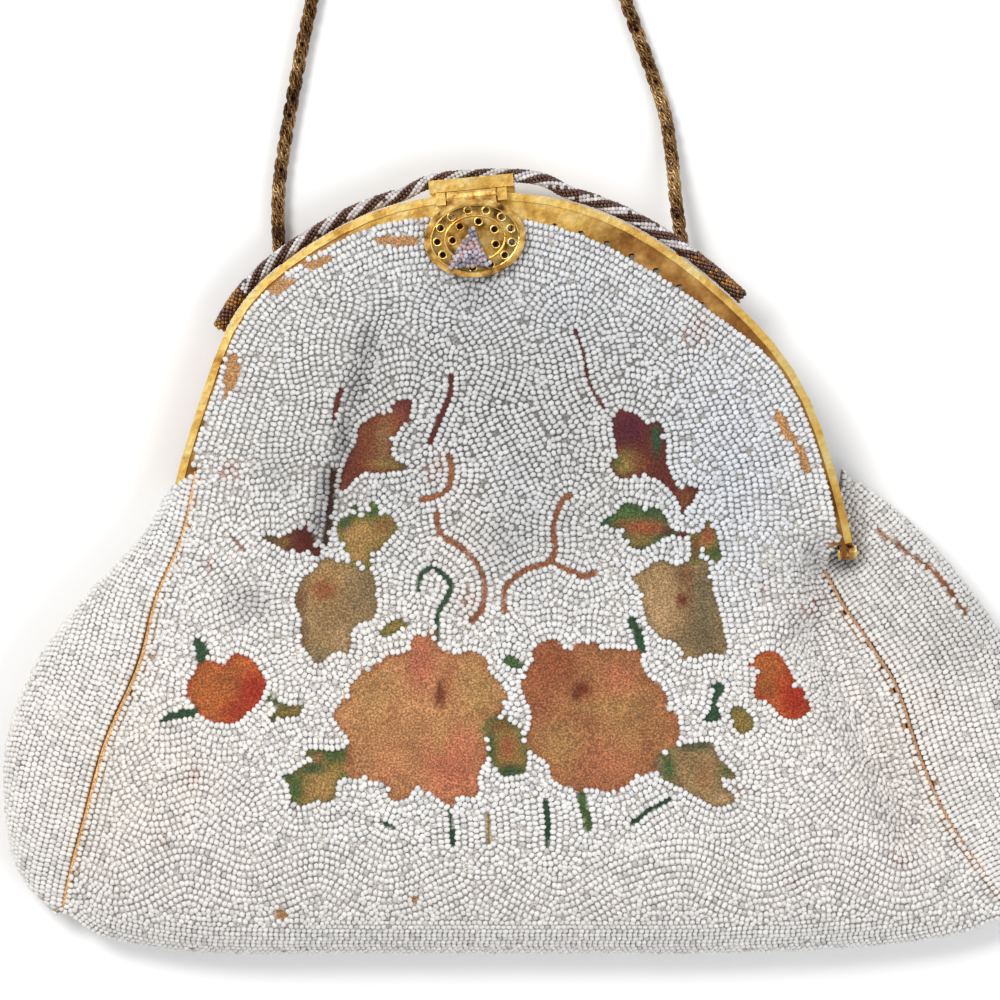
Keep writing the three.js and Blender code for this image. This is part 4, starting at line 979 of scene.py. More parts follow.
# Materials
class Surface:
    """A new material and the nodes that shade it."""

    def __init__(self, name):
        self.material = bpy.data.materials.new(name)
        self.material.use_nodes = True
        self.nodes = self.material.node_tree.nodes

    def put(self, node, inputs):
        """Link each named or numbered input to another node's output, or set its own value."""
        for key, value in inputs.items():
            if isinstance(value, bpy.types.NodeSocket):
                self.material.node_tree.links.new(value, node.inputs[key])
            else:
                node.inputs[key].default_value = value

    def node(self, kind, inputs, **settings):
        node = self.nodes.new("ShaderNode" + kind)
        for name, value in settings.items():
            setattr(node, name, value)
        self.put(node, inputs)
        return node

    def done(self, inputs):
        self.put(self.nodes["Principled BSDF"], inputs)
        return self.material

    def place(self):
        return self.node("TexCoord", {}).outputs["Object"]

    def tint(self):
        return self.node("Attribute", {}, attribute_name="tint").outputs["Color"]

    def noise(self, scale, detail):
        inputs = {"Scale": scale, "Detail": detail, "Vector": self.place()}
        return self.node("TexNoise", inputs).outputs["Fac"]

    def ramp(self, source, stops):
        """Tones by the source's value; a tone that is one number is a grey."""
        ramp = self.node("ValToRGB", {"Fac": source})
        elements = ramp.color_ramp.elements
        while len(elements) < len(stops):
            elements.new(position=0.5)
        for element, (position, tone) in zip(elements, stops):
            element.position = position
            element.color = (*np.broadcast_to(tone, 3), 1)
        return ramp.outputs["Color"]

    def level(self, value, low, high, most=1):
        """0 where the value is low, rising to the most where it is high."""
        inputs = {"Value": value, "From Min": low, "From Max": high, "To Max": most}
        return self.node("MapRange", inputs).outputs["Result"]

    def mix(self, a, b, factor=1, mode="MULTIPLY"):
        inputs = {"Factor": factor, "A": a, "B": b}
        return self.node("Mix", inputs, data_type="RGBA", blend_type=mode).outputs["Result"]

    def bump(self, height, strength):
        inputs = {"Strength": strength, "Distance": BUMP_DISTANCE, "Height": height}
        return self.node("Bump", inputs).outputs["Normal"]


def silk_material():
    surface = Surface("printed_silk")
    grain = surface.noise(scale=2600, detail=1)
    fade = surface.noise(scale=180, detail=3)
    printed = surface.mix(surface.tint(), surface.ramp(grain, SILK_SPECKLE))
    return surface.done({
        "Base Color": surface.mix(printed, surface.ramp(fade, SILK_WEAR)),
        "Roughness": 0.72,
        "Specular IOR Level": 0.25,
        "Normal": surface.bump(grain, strength=0.35),
    })


def bead_material(name, roughness, metallic):
    surface = Surface(name)
    streaks = surface.ramp(surface.noise(scale=700, detail=2), BEAD_STREAKS)
    glass = surface.mix(surface.tint(), streaks)
    return surface.done({"Base Color": glass, "Roughness": roughness, "Metallic": metallic})


def metal_material(name, tones, roughness, grain_scale, patch_scale=160, flange_tones=None, oval_stops=None):
    """Patchy metal. The frame's flange can have its own tones, and the plaque is toned by share of its oval,
    with painted shade in a ring inside its rim.
    """
    surface = Surface(name)
    patches = surface.noise(patch_scale, detail=4)
    scratches = surface.noise(grain_scale, detail=3)
    tone = surface.ramp(patches, list(zip(PATCH_STOPS, tones)))
    if flange_tones is not None:
        dull = surface.ramp(patches, list(zip(PATCH_STOPS, flange_tones)))
        tone = surface.mix(dull, tone, flange_brightness(surface), "MIX")
    if oval_stops is not None:
        tone = surface.mix(tone, surface.ramp(oval_share(surface), oval_stops))
    return surface.done({
        "Base Color": surface.mix(tone, surface.ramp(scratches, SCRATCH_STOPS)),
        "Roughness": surface.ramp(scratches, list(zip(ROUGH_STOPS, roughness))),
        "Metallic": 1,
        "Normal": surface.bump(scratches, strength=0.3),
    })


def oval_share(surface):
    """0 at the middle of the plaque and 1 at its edge."""
    oval = surface.node("Mapping", {
        "Vector": surface.place(),
        "Location": in_frame([0, PLAQUE["y"], PLAQUE["top"]]) * MM,
        "Rotation": Matrix(FRAME_MATRIX).to_euler(),
        "Scale": (PLAQUE["half_width"] * MM, PLAQUE["half_height"] * MM, 1),
    }, vector_type="TEXTURE")
    return surface.node("VectorMath", {0: oval.outputs["Vector"]}, operation="LENGTH").outputs["Value"]


def flange_brightness(surface):
    """1 on the rim, by its height over the frame's middle plane, and less on the flange beside the clasp."""
    place = surface.node("NewGeometry", {}).outputs["Position"]
    height = surface.node("VectorMath", {0: place, 1: FRAME_MATRIX[:, 2]}, operation="DOT_PRODUCT")
    flange = FRAME_MATRIX[:, 2] @ FRAME_PLACE + FLANGE_HIGH
    on_rim = surface.level(height.outputs["Value"], *((flange + above) * MM for above in RIM_STARTS))
    by_clasp = surface.level(oval_share(surface), BRIGHT_FLANGE["end"], BRIGHT_FLANGE["start"],
                             BRIGHT_FLANGE["most"])
    return surface.node("Math", {0: on_rim, 1: by_clasp}, operation="MAXIMUM").outputs["Value"]


# Grey stops of the textures
SILK_SPECKLE = [(0.3, 0.5), (0.5, 0.92), (0.7, 1.7)]
SILK_WEAR = [(0.35, 0.84), (0.65, 1.1)]
BEAD_STREAKS = [(0.3, 0.9), (0.7, 1.05)]
SCRATCH_STOPS = [(0.3, 0.8), (0.62, 1.0)]
ROUGH_STOPS = 0.3, 0.7
PATCH_STOPS = 0.3, 0.48, 0.72
BUMP_DISTANCE = 0.0002
# The rim's gilding starts at these heights over the flange, in millimetres
RIM_STARTS = 0.05, 0.3
# Bright part of the flange, in shares of the plaque's oval
BRIGHT_FLANGE = {"start": 1.9, "end": 3.0, "most": 0.85}
GILT_TONES = ink(196, 138, 62), ink(248, 202, 108), ink(255, 236, 166)
FLANGE_TONES = ink(100, 62, 32), ink(168, 114, 60), ink(222, 172, 98)
PLAQUE_TONES = ink(96, 62, 30), ink(214, 164, 84), ink(255, 228, 150)
# The plaque's tone by share of its oval; the dark ring just inside the rim is painted shade in its groove
PLAQUE_STOPS = [(0.0, 0.7), (0.5, 0.7), (0.6, 0.95), (0.7, 0.55), (0.84, 0.3), (0.9, 1.0)]
BRASS_TONES = ink(58, 36, 28), ink(128, 94, 60), ink(200, 166, 118)
# Roughness of the scratches' low and high places, and the scale of the scratches
GILT_FINISH = {"roughness": (0.42, 0.22), "grain_scale": 900}
BRASS_FINISH = {"roughness": (0.5, 0.3), "grain_scale": 1500}

SILK_CLOTH = silk_material()
WHITE_BEADS = bead_material("white_glass_beads", roughness=0.24, metallic=0)
BRONZE_BEADS = bead_material("bronze_glass_beads", roughness=0.22, metallic=0.55)
GILT = metal_material("worn_gilt", GILT_TONES, **GILT_FINISH)
DARK_BRASS = metal_material("tarnished_brass", BRASS_TONES, **BRASS_FINISH)
FRAME_GILT = metal_material("worn_gilt_frame", GILT_TONES, **GILT_FINISH, flange_tones=FLANGE_TONES)
PLAQUE_GILT = metal_material("worn_gilt_plaque", PLAQUE_TONES, **GILT_FINISH, patch_scale=420,
                             oval_stops=PLAQUE_STOPS)
METAL_NODES = {
    "front_frame": FRAME_GILT, "back_frame": FRAME_GILT, "right_hinge_rivet": GILT, "left_hinge_rivet": GILT,
    "clasp_pin": GILT, "clasp_plaque": PLAQUE_GILT,
}


# Bead rows: offsets of seed lines, each kept only where its own line is the nearest
def seed_rows(line, is_closed, side, first, row, pitch, count):
    """Rows beside a line: places, directions and distances from the line."""
    if is_closed:
        ahead, behind = np.roll(line, -1, 0), np.roll(line, 1, 0)
    else:
        ahead, behind = np.vstack([line[1:], line[-1:]]), np.vstack([line[:1], line[:-1]])
    along = unit(ahead - behind)
    out = np.column_stack([-along[:, 1], along[:, 0]]) * side
    places, directions, distances = [], [], []
    for k in range(count):
        distance = first + k * row
        shifted = line + out * distance
        if is_closed:
            shifted = np.vstack([shifted, shifted[:1]])
        beads = even_steps(shifted, pitch, random.uniform(0, pitch))
        if len(beads) >= SHORTEST_ROW:
            places.append(beads)
            directions.append(unit(np.gradient(beads, axis=0)))
            distances.append(np.full(len(beads), distance))
    return np.vstack(places), np.vstack(directions), np.concatenate(distances)


def tree_of(points):
    tree = KDTree(len(points))
    for number, point in enumerate(points):
        tree.insert((*point, 0) if len(point) == 2 else point, number)
    tree.balance()
    return tree


class Spread:
    """Accepts points that keep their distance from every point accepted before."""

    def __init__(self, cell):
        self.cell = cell
        self.bins = {}

    def accept(self, point, closest):
        i, j, k = home = tuple(int(v // self.cell) for v in point)
        for di, dj, dk in product((-1, 0, 1), repeat=3):
            for other in self.bins.get((i + di, j + dj, k + dk), ()):
                if sum((a - b) ** 2 for a, b in zip(point, other)) < closest * closest:
                    return False
        self.bins.setdefault(home, []).append(tuple(point))
        return True


def lay_rows(seeds, row, pitch):
    """seeds: (line, is_closed, sides, first, count). Returns places and directions in row order."""
    tree = tree_of(np.vstack([seed[0] for seed in seeds]))
    places, directions, order = [], [], []
    for line, is_closed, sides, first, count in seeds:
        for side in sides:
            beads, along, distance = seed_rows(line, is_closed, side, first, row, pitch, count)
            nearest = np.array([tree.find((x, y, 0))[2] for x, y in beads])
            keep = nearest >= distance - row * ROW_OVERLAP
            places.append(beads[keep])
            directions.append(along[keep])
            order.append(distance[keep])
    rank = np.argsort(np.concatenate(order), kind="stable")
    return np.vstack(places)[rank], np.vstack(directions)[rank]


def closed_seed(outline, first, count):
    """A seed for the rows outside a closed outline, whichever way round it goes."""
    x, y = outline[:, 0], outline[:, 1]
    area = np.sum(x * np.roll(y, -1) - np.roll(x, -1) * y)
    return outline, True, (-1 if area > 0 else 1,), first, count


def capsule(line, half_width):
    """A closed outline round an open line."""
    along = unit(np.gradient(line, axis=0))
    out = np.column_stack([-along[:, 1], along[:, 0]])
    turn = np.linspace(0, np.pi, CAP_STEPS)[1:-1, None]

    def cap(k, side):
        return line[k] + half_width * (np.cos(turn) * out[k] * side + np.sin(turn) * along[k] * side)

    sides = line + out * half_width, (line - out * half_width)[::-1]
    return np.vstack([sides[0], cap(-1, 1), sides[1], cap(0, -1)])


def reaches(grid):
    """Distances along each row of a grid, from its first point."""
    steps = np.linalg.norm(np.diff(grid, axis=1), axis=-1)
    return np.hstack([np.zeros((len(grid), 1)), np.cumsum(steps, axis=1)])


def line_at(distance, reach, grid):
    """The line that lies at one distance along every row of a grid."""
    return np.array([[np.interp(distance, r, g[:, k]) for k in range(3)] for r, g in zip(reach, grid)])


def flat_direction(along, up):
    along = np.asarray(along, float)
    return unit(along - up * (along @ up))


# Cloth pieces
class Cloth:
    """A silk wall with a fine outer grid, ready for beads."""

    def __init__(self, name, outside, outward):
        self.name = name
        self.outward = outward
        self.normals = grid_normals(outside, outward)
        self.grid = outside - self.normals * SILK_DEPTH
        index = np.arange(self.grid.size // 3).reshape(self.grid.shape[:2])
        self.bvh = BVHTree.FromPolygons(self.grid.reshape(-1, 3).tolist(), cells(index).tolist())

    def normal_at(self, face):
        return self.normals[divmod(face, self.grid.shape[1] - 1)]

    def piece(self, colours, node):
        grid, normals, colours = (values[:, ::self.outward] for values in (self.grid, self.normals, colours))
        shape = wall_shape(grid, normals)
        inner = np.tile(SILK, (len(shape[0]) - grid.size // 3, 1))
        tints = np.vstack([colours.reshape(-1, 3), inner])
        piece = new_piece(self.name, shape, [SILK_CLOTH], "purse", tints)
        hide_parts(node)
        return piece

    def random_places(self, count):
        """Random points on the grid, even by area, and the faces they are on."""
        a, b, c, d = corners(self.grid)
        area = np.linalg.norm(np.cross(b - a, d - a), axis=-1).ravel()
        chosen = random.choice(len(area), count, p=area / area.sum())
        s, t = random.uniform(size=(2, count, 1))
        a, b, c, d = (corner.reshape(-1, 3)[chosen] for corner in (a, b, c, d))
        return a * (1 - s) * (1 - t) + b * s * (1 - t) + c * s * t + d * (1 - s) * t, chosen


class Beading:
    """Beads sewn on a cloth: centres, row directions and outward normals."""

    def __init__(self, cloth, scale=1):
        self.cloth = cloth
        self.scale = scale
        self.row, self.pitch = BEAD["row"] * scale, BEAD["pitch"] * scale
        self.closest = self.pitch * CLOSEST
        self.spread = Spread(self.row)
        self.centres, self.along, self.up = [], [], []

    def sew(self, point, along, up, closest=None):
        if self.spread.accept(point, closest or self.closest):
            self.centres.append(point)
            self.along.append(along)
            self.up.append(up)

    def sew_line(self, line, is_wanted):
        """A row of beads along a line, where they are wanted; returns how many are."""
        beads = even_steps(line, self.pitch, random.uniform(0, self.pitch))
        found = 0
        for bead, along in zip(beads, unit(np.gradient(beads, axis=0))):
            _, _, face, _ = self.cloth.bvh.find_nearest(Vector(bead))
            up = self.cloth.normal_at(face)
            if is_wanted(bead, up):
                self.sew(bead, flat_direction(along, up), up)
                found += 1
        return found

    def sew_bottom(self):
        """Rows at even distances from the bottom fold, where the cloth turns away steeply."""
        grid = self.cloth.grid.transpose(1, 0, 2)
        reach = reaches(grid)

        def is_steep(bead, up):
            return abs(up[2]) < STEEP and bead[1] < BOTTOM_ROLL

        for distance in np.arange(self.row * FIRST_ROW["fold"], reach.max(), self.row):
            if self.sew_line(line_at(distance, reach, grid), is_steep) == 0:
                return

    def sew_seen(self, rays, directions):
        """Beads where rays, each a start and a way, meet the cloth, except on the steep bottom."""
        for (start, way), direction in zip(rays, directions):
            hit, _, face, _ = self.cloth.bvh.ray_cast(start, way)
            if hit is None:
                continue
            up = self.cloth.normal_at(face)
            if up[2] * self.cloth.outward >= STEEP or hit[1] >= BOTTOM_ROLL:
                self.sew(np.array(hit), flat_direction((*direction, 0), up), up)

    def fill(self, tries, bare=None):
        """Single beads where the rows have left room, the roomiest places first."""
        for gap in np.array(FILL_GAPS) * self.scale:
            points, faces = self.cloth.random_places(tries)
            tree = tree_of(self.centres)
            roomy = np.array([tree.find(point)[2] > gap for point in points])
            if bare is not None:
                roomy &= ~at_chart(bare, to_chart(points))
            for point, face in zip(points[roomy], faces[roomy]):
                nearest = tree.find(point)[1]
                self.sew(point, self.along[nearest], self.cloth.normal_at(face), gap)

    def pieces(self, names, shape, missing):
        """Joined bead meshes, one for each name, from the top of the purse downwards."""
        centres, along, up = (np.array(values) for values in (self.centres, self.along, self.up))
        kept = random.uniform(size=len(centres)) > missing
        centres, along, up = centres[kept], along[kept], up[kept]
        order = np.argsort(-centres[:, 1], kind="stable")
        made = []
        for name, part in zip(names, np.array_split(order, len(names))):
            sizes = np.array([BEAD["along"], BEAD["across"], BEAD["height"]]) * uneven(len(part))
            sizes[:, :2] *= self.scale
            lean = unit(up[part] + random.normal(0, UNEVEN["lean"], (len(part), 3)))
            swing = unit(along[part] + random.normal(0, UNEVEN["swing"], (len(part), 3)))
            raised = centres[part] + up[part] * (sizes[:, 2:] / 2 - BEAD_SINK)
            beads = many(shape, raised, swing, lean, sizes)
            tints = np.repeat(bead_tint(centres[part]), len(shape[0]), axis=0)
            made.append(new_piece(name, beads, [WHITE_BEADS], "purse", tints))
        return made


def uneven(count):
    return random.normal(1, UNEVEN["size"], (count, 3))


def bead_tint(points):
    places = to_chart(points)
    # Tints with painted sky reflection and painted shade, by place on the chart
    tones = spotted(np.tile(WHITE, (len(points), 1)), places, TINTS)
    # Painted shade of the folds, on the front's beads only
    fold_shaded = spotted(tones, places, fold_shade_spots(FOLD_SHADE_TONE))
    tones = np.where(points[:, 2:] > FOLD_SHADE_ABOVE, fold_shaded, tones)
    tones = spotted(tones, places, stain_spots(STAIN_ON_BEADS))
    dull = random.uniform(size=len(points)) < DULL["share"]
    tones[dull] = tones[dull] * (1 - DULL["strength"]) + SHADE * DULL["strength"]
    return tones * random.normal(1, UNEVEN["tint"], (len(points), 1)).clip(*TINT_LIMITS)


def front_beading(cloth, bare):
    row, pitch = BEAD["row"] / CHART_UNIT, BEAD["pitch"] / CHART_UNIT
    first = row * FIRST_ROW["edge"]
    rows = np.linspace(0, SEAM_ROWS, SEAM_EDGE)
    seeds = [(bead_edge(), False, (1,), first, ROW_COUNTS["frame"])]
    for name, inside in (("left", 1), ("right", -1)):
        seam = even_steps(to_chart(side_curve(name, "front", rows)), CHART_STEP)
        seeds.append((seam, False, (inside,), row * SEAM_FIRST[name], ROW_COUNTS["seam"]))
    shapes = [smooth_line(outline, True) for _, outline, _ in MOTIFS]
    shapes += [capsule(smooth_line(points, False), half_width) for _, half_width, points in LINES]
    shapes += [capsule(smooth_line(points, False), row * MEANDER_HALF) for points in MEANDERS]
    seeds += [closed_seed(shape, first, ROW_COUNTS["motif"]) for shape in shapes]
    bottom = even_steps(to_chart(bottom_curve(np.linspace(0, 1, SEAM_EDGE), "front")), CHART_STEP)
    seeds.append((bottom, False, (-1, 1), first, ROW_COUNTS["bottom"]))
    places, directions = lay_rows(seeds, row, pitch)
    allowed = ~at_chart(bare, places)
    beading = Beading(cloth)
    beading.sew_bottom()
    wander = random.normal(0, ROW_WANDER, places.shape)
    rays = [(Vector(EYE), sight_line(place)) for place in (places + wander)[allowed]]
    beading.sew_seen(rays, directions[allowed] * (1, -1))
    beading.fill(FILL_TRIES["front"], bare)
    return beading


def back_beading(cloth):
    beading = Beading(cloth, BACK_SCALE)
    rows = np.linspace(0, SEAM_ROWS + ARCH_ROWS, LONG_EDGE)
    arch = np.linspace(ARCH_CORNERS["left"], ARCH_CORNERS["right"], LONG_EDGE)
    # Edges of the back, each with its inner side
    edges = [
        (side_curve("left", "back", rows), -1),
        (side_curve("right", "back", rows), 1),
        (cloth_on_arm(arch, -1), -1),
        (bottom_curve(np.linspace(0, 1, LONG_EDGE), "back"), 1),
    ]
    seeds = []
    for edge, side in edges:
        line = even_steps(edge[:, :2], BACK_STEP)
        seeds.append((line, False, (side,), beading.row * FIRST_ROW["back"], ROW_COUNTS["back"]))
    for points in BACK_MEANDERS:
        shape = capsule(smooth_line(points, False, BACK_STEP), beading.row * MEANDER_HALF)
        seeds.append(closed_seed(shape, beading.row * FIRST_ROW["edge"], ROW_COUNTS["back_meander"]))
    places, directions = lay_rows(seeds, beading.row, beading.pitch)
    beading.sew_bottom()
    beading.sew_seen([(Vector((*place, BELOW)), Vector((0, 0, 1))) for place in places], directions)
    beading.fill(FILL_TRIES["back"])
    return beading


def gusset_beading(cloth, bare, first):
    """Rows at even distances from the front seam, round the gusset to the back seam."""
    reach = reaches(cloth.grid)
    beading = Beading(cloth)

    def is_wanted(bead, up):
        return up[2] <= FACES_UP or not at_chart(bare, to_chart(bead))

    for distance in np.arange(beading.row * first, reach[:, -1].max(), beading.row):
        wide = reach[:, -1] > np.maximum(distance + beading.row * GUSSET_END, GUSSET_NARROW)
        if wide.sum() >= SHORTEST_LINE:
            beading.sew_line(line_at(distance, reach[wide], cloth.grid[wide]), is_wanted)
    beading.fill(FILL_TRIES["gusset"], bare)
    return beading


def seam_piece(name, front, gusset):
    """Golden piping in the groove between the front and a gusset."""
    on_seam = np.linspace(0, 1, SEAM_EDGE)
    column = 0 if name == "left" else -1
    seam_rows = np.linspace(0, (SEAM_ROWS + ARCH_ROWS) / SEAM_ROWS, len(front.grid))
    gusset_rows = np.linspace(0, 1, len(gusset.grid))
    line = np.column_stack([
        np.interp(on_seam, seam_rows, front.grid[:, column, k]) / 2
        + np.interp(on_seam, gusset_rows, gusset.grid[:, 0, k]) / 2 for k in range(3)
    ])
    shape = tube(line, SEAM_RADIUS[name], sides=6)
    tints = np.tile(ink(*SEAM_TONE[name]), (len(shape[0]), 1))
    return new_piece(f"{name}_seam", shape, [SILK_CLOTH], "purse", tints)


def panel_cloth(face, outward):
    rows = np.linspace(0, SEAM_ROWS + ARCH_ROWS, GRID_POINTS[face][0])
    shares = np.linspace(*PANEL_ENDS, GRID_POINTS[face][1])
    return Cloth(f"{face}_silk", panel_grid(face, rows, shares), outward)


def add_cloths():
    colour, bare = paint_chart()
    front = panel_cloth("front", 1)
    front_piece = front.piece(at_chart(colour, to_chart(front.grid)), "front_panel")
    names = ["front_beads_top", "front_beads_middle", "front_beads_bottom"]
    front_pieces = front_beading(front, bare).pieces(names, FINE_BEAD, MISSING["panel"])

    back = panel_cloth("back", -1)
    back_piece = back.piece(np.tile(UNDER_BEADS, back.grid.shape[:2] + (1,)), "back_panel")
    names = ["back_beads_top", "back_beads_bottom"]
    beads = back_beading(back).pieces(names, PLAIN_BEAD, MISSING["panel"])

    for name, outward in (("left", -1), ("right", 1)):
        shares = np.linspace(0, 1, GRID_POINTS["gusset"][0])
        turns = np.linspace(*GUSSET_ENDS, GRID_POINTS["gusset"][1])
        gusset = Cloth(f"{name}_gusset_silk", gusset_grid(name, shares, turns), outward)
        piece = gusset.piece(at_chart(colour, to_chart(gusset.grid)), f"{name}_gusset")
        beading = gusset_beading(gusset, bare, GUSSET_FIRST[name])
        beads = beading.pieces([f"{name}_gusset_beads"], PLAIN_BEAD, MISSING["gusset"])
        front_pieces.append(seam_piece(name, front, gusset))


# Chain, trim and clasp
def chain_line():
    ends = []
    for side in ("left", "right"):
        place = arch_point(CHAIN_EXIT[side], -CHAIN_EXIT["out"])
        ends.append(in_frame([*place, CHAIN_EXIT["height"]]))
    lying = [(x, y, CHAIN_REST + lift) for x, y, lift in CHAIN_ROUTE]
    route = np.vstack([ends[0], lying, ends[1]])
    return even_steps(along_table(route, np.linspace(0, 1, CHAIN_SAMPLES)), CHAIN_STEP)


def twisted(line, radius, twist, phase):
    """A strand twisted round a line, and the directions from the line to it."""
    along = unit(np.gradient(line, axis=0))
    side = unit(np.cross(along, (0, 0, 1)))
    length = np.concatenate([[0], np.cumsum(np.linalg.norm(np.diff(line, axis=0), axis=1))])
    turn = (2 * np.pi * (length / twist + phase))[:, None]
    out = np.cos(turn) * side + np.sin(turn) * np.cross(side, along)
    return line + radius * out, out


def add_chain():
    """Strands of small links, each leaning against the next, twisted into a rope."""
    shapes = []
    line = chain_line()
    for strand in range(STRANDS):
        path, out = twisted(line, LINK["offset"], LINK["twist"], strand / STRANDS)
        places = even_steps(np.hstack([path, out]), LINK["step"], LINK["step"] * strand / STRANDS)
        along = unit(np.gradient(places[:, :3], axis=0))
        out = unit(places[:, 3:])
        lean = math.radians(LINK["lean"]) * np.where(np.arange(len(places)) % 2, 1, -1)[:, None]
        across = np.cos(lean) * np.cross(along, out) + np.sin(lean) * out
        across = unit(across - along * np.sum(across * along, axis=1, keepdims=True))
        shapes.append(rings(places[:, :3], along, across, (LINK["long"], LINK["wide"]), LINK["wire"]))
    chain = new_piece("rope_chain", joined(shapes), [DARK_BRASS], "purse")
    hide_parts("handle_chain")


def add_trim():
    deg = np.linspace(TRIM["to"], TRIM["from"], TRIM_SAMPLES)
    away = np.abs((deg - TRIM_BOW["middle"]) / TRIM_BOW["half"])
    bow = TRIM_BOW["out"] * np.exp(-away ** TRIM_BOW["power"])
    place = arch_point(deg, -(TRIM["radius"] + GAP + bow))
    line = in_frame(np.column_stack([place, np.full(len(deg), TRIM["height"])]))
    shapes, numbers, tints = [], [], []

    def add(shape, number, tint):
        shapes.append(shape)
        numbers.append(np.full(sum(len(f) for f in shape[1]), number))
        tints.append(np.broadcast_to(tint, shape[0].shape))

    add(tube(even_steps(line, TRIM_BEAD["cord_step"]), TRIM_BEAD["cord"], sides=8), 2, TRIM_CORD)
    strands = 2 * TRIM_BEAD["pairs"]
    for strand in range(strands):
        path, out = twisted(line, TRIM_BEAD["ring"], TRIM_BEAD["twist"], strand / strands)
        start = random.uniform(0, TRIM_BEAD["step"])
        beads = even_steps(np.hstack([path, out, deg[:, None]]), TRIM_BEAD["step"], start)
        centres, out, bead_deg = beads[:, :3], unit(beads[:, 3:6]), beads[:, 6]
        along = unit(np.gradient(centres, axis=0))
        sizes = TRIM_BEAD["size"] * uneven(len(beads))
        is_gold = (bead_deg < TRIM["gold_below"]) | (bead_deg > TRIM["gold_above"])
        is_light = random.uniform(size=len(beads)) > TRIM_BEAD["dark_share"]
        is_white = ~is_gold & (strand // 2 % 2 == 0) & is_light
        is_gold &= random.uniform(size=len(beads)) < TRIM_BEAD["gold_share"]
        tones = np.where(is_white[:, None], TRIM_WHITE, np.where(is_gold[:, None], OLD_GOLD, BRONZE))
        tones = tones * random.normal(1, UNEVEN["trim_tint"], (len(beads), 1)).clip(*TRIM_TINT_LIMITS)
        for chosen, number in ((is_white, 0), (~is_white, 1)):
            if chosen.any():
                shape = many(PLAIN_BEAD, centres[chosen], along[chosen], out[chosen], sizes[chosen])
                add(shape, number, np.repeat(tones[chosen], len(PLAIN_BEAD[0]), axis=0))
    materials = [WHITE_BEADS, BRONZE_BEADS, SILK_CLOTH]
    trim = new_piece("twisted_trim", joined(shapes), materials, "purse",
                     np.vstack(tints), np.concatenate(numbers))
    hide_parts("trim")


def on_plaque(share, turn, height):
    """Places round an oval on the plaque."""
    return in_frame(np.column_stack([
        PLAQUE["half_width"] * share * np.cos(turn),
        PLAQUE["y"] + PLAQUE["half_height"] * share * np.sin(turn),
        np.full(len(turn), PLAQUE["top"] + height),
    ]))


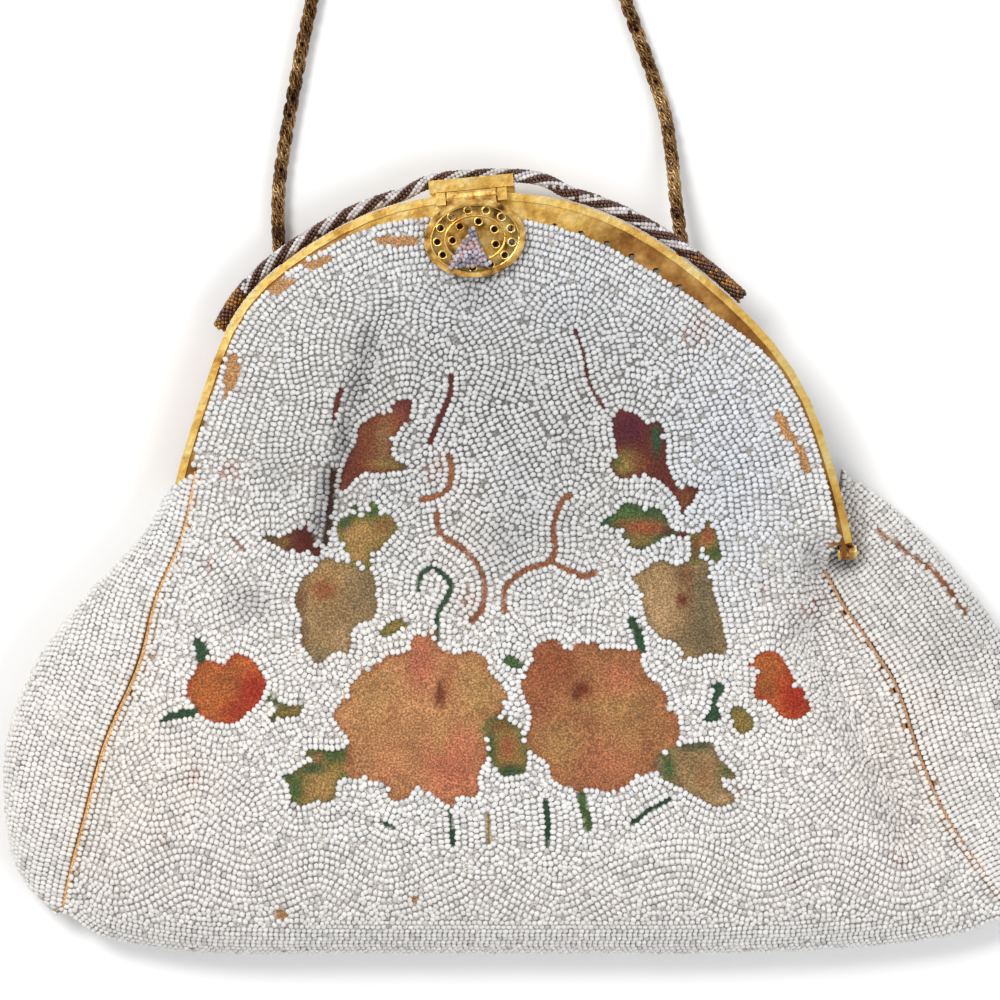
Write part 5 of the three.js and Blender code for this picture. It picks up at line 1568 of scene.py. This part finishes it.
def add_clasp():
    """Wire ovals and the bead cluster on the plaque."""
    shapes = []
    for share, wire in PLAQUE_WIRES:
        turn = np.linspace(0, 2 * np.pi, OVAL_SAMPLES)
        shapes.append(tube(on_plaque(share, turn, wire * WIRE_PROUD), wire, sides=6))
    for share, count in EYELETS:
        turn = 2 * np.pi * (np.arange(count) + 0.5) / count
        a, b = (np.tile(FRAME_MATRIX[:, k], (count, 1)) for k in (0, 1))
        radii = EYELET["radius"], EYELET["radius"]
        shapes.append(rings(on_plaque(share, turn, 0), a, b, radii, EYELET["wire"]))
    new_piece("clasp_wire", joined(shapes), [GILT], "clasp")

    centres = []
    spread = Spread(CLUSTER_BEAD["size"])
    drop = CLUSTER["apex_y"] - CLUSTER["base_y"]
    for height, back in CLUSTER_LAYERS:
        for down, across in random.uniform(size=(CLUSTER_BEAD["tries"], 2)):
            share = (down * drop + back) / drop
            left = CLUSTER["apex_x"] + (CLUSTER["left_x"] - CLUSTER["apex_x"]) * share + back
            right = CLUSTER["apex_x"] + (CLUSTER["right_x"] - CLUSTER["apex_x"]) * share - back
            y = CLUSTER["apex_y"] - drop * share
            place = (left + (right - left) * across, y, PLAQUE["top"] + height)
            fits = left <= right and y >= CLUSTER["base_y"] + back / 2
            if fits and spread.accept(place, CLUSTER_BEAD["closest"]):
                centres.append(place)
    centres = in_frame(np.array(centres))
    count = len(centres)
    along = np.tile(FRAME_MATRIX[:, 0], (count, 1))
    up = unit(np.tile(FRAME_MATRIX[:, 2], (count, 1)) + random.normal(0, UNEVEN["cluster_lean"], (count, 3)))
    beads = many(ROUND_BEAD, centres, along, up, CLUSTER_BEAD["size"] * uneven(count))
    tones = np.array(CLUSTER_TONES)[random.integers(0, len(CLUSTER_TONES), count)]
    tints = np.repeat(tones, len(ROUND_BEAD[0]), axis=0)
    cluster = new_piece("clasp_cluster", beads, [WHITE_BEADS], "clasp", tints)
    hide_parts("clasp_beads")


# Camera, floor and lights, in metres
# Lights: name, place, size, power, colour
LIGHTS = [
    ("key", (-0.7, 0.75, 1.25), 0.6, 17, (1.0, 0.985, 0.96)),
    ("fill", (0.9, -0.5, 1.1), 0.9, 8, (0.95, 0.97, 1.0)),
]
LIGHTS_AIM = Vector((0, 0.02, 0))
WORLD_STRENGTH = 0.55
FLOOR = {"half": 3.0, "height": -0.0005, "tone": (0.9, 0.9, 0.9, 1), "roughness": 0.9}
CLIP_END = 20


def add_view():
    camera = bpy.data.cameras.new("camera")
    camera.sensor_width = SENSOR
    camera.lens = SENSOR * (EYE[2] - CHART_HEIGHT) / (CHART_SIZE * CHART_UNIT)
    camera.clip_end = CLIP_END
    holder = add_object("camera", camera)
    holder.location = EYE * MM
    bpy.context.scene.camera = holder

    floor_mesh = bpy.data.meshes.new("floor")
    half = FLOOR["half"]
    places = [(-half, -half, 0), (half, -half, 0), (half, half, 0), (-half, half, 0)]
    floor_mesh.from_pydata(places, [], [(0, 1, 2, 3)])
    look = {"Base Color": FLOOR["tone"], "Roughness": FLOOR["roughness"]}
    floor_mesh.materials.append(Surface("pale_floor").done(look))
    floor = add_object("floor", floor_mesh)
    floor.location.z = FLOOR["height"]

    for name, place, size, power, tone in LIGHTS:
        light = bpy.data.lights.new(name, "AREA")
        light.size = size
        light.energy = power
        light.color = tone
        lamp = add_object(name, light)
        lamp.location = place
        lamp.rotation_euler = (LIGHTS_AIM - Vector(place)).to_track_quat("-Z", "Y").to_euler()
    world = bpy.data.worlds.new("studio")
    world.use_nodes = True
    world.node_tree.nodes["Background"].inputs["Color"].default_value = (1, 1, 1, 1)
    world.node_tree.nodes["Background"].inputs["Strength"].default_value = WORLD_STRENGTH
    bpy.context.scene.world = world
    bpy.context.scene.view_settings.view_transform = "Standard"


add_view()
add_cloths()
add_chain()
add_trim()
add_clasp()
for name, material in METAL_NODES.items():
    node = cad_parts[name]
    node.data.materials.clear()
    node.data.materials.append(material)
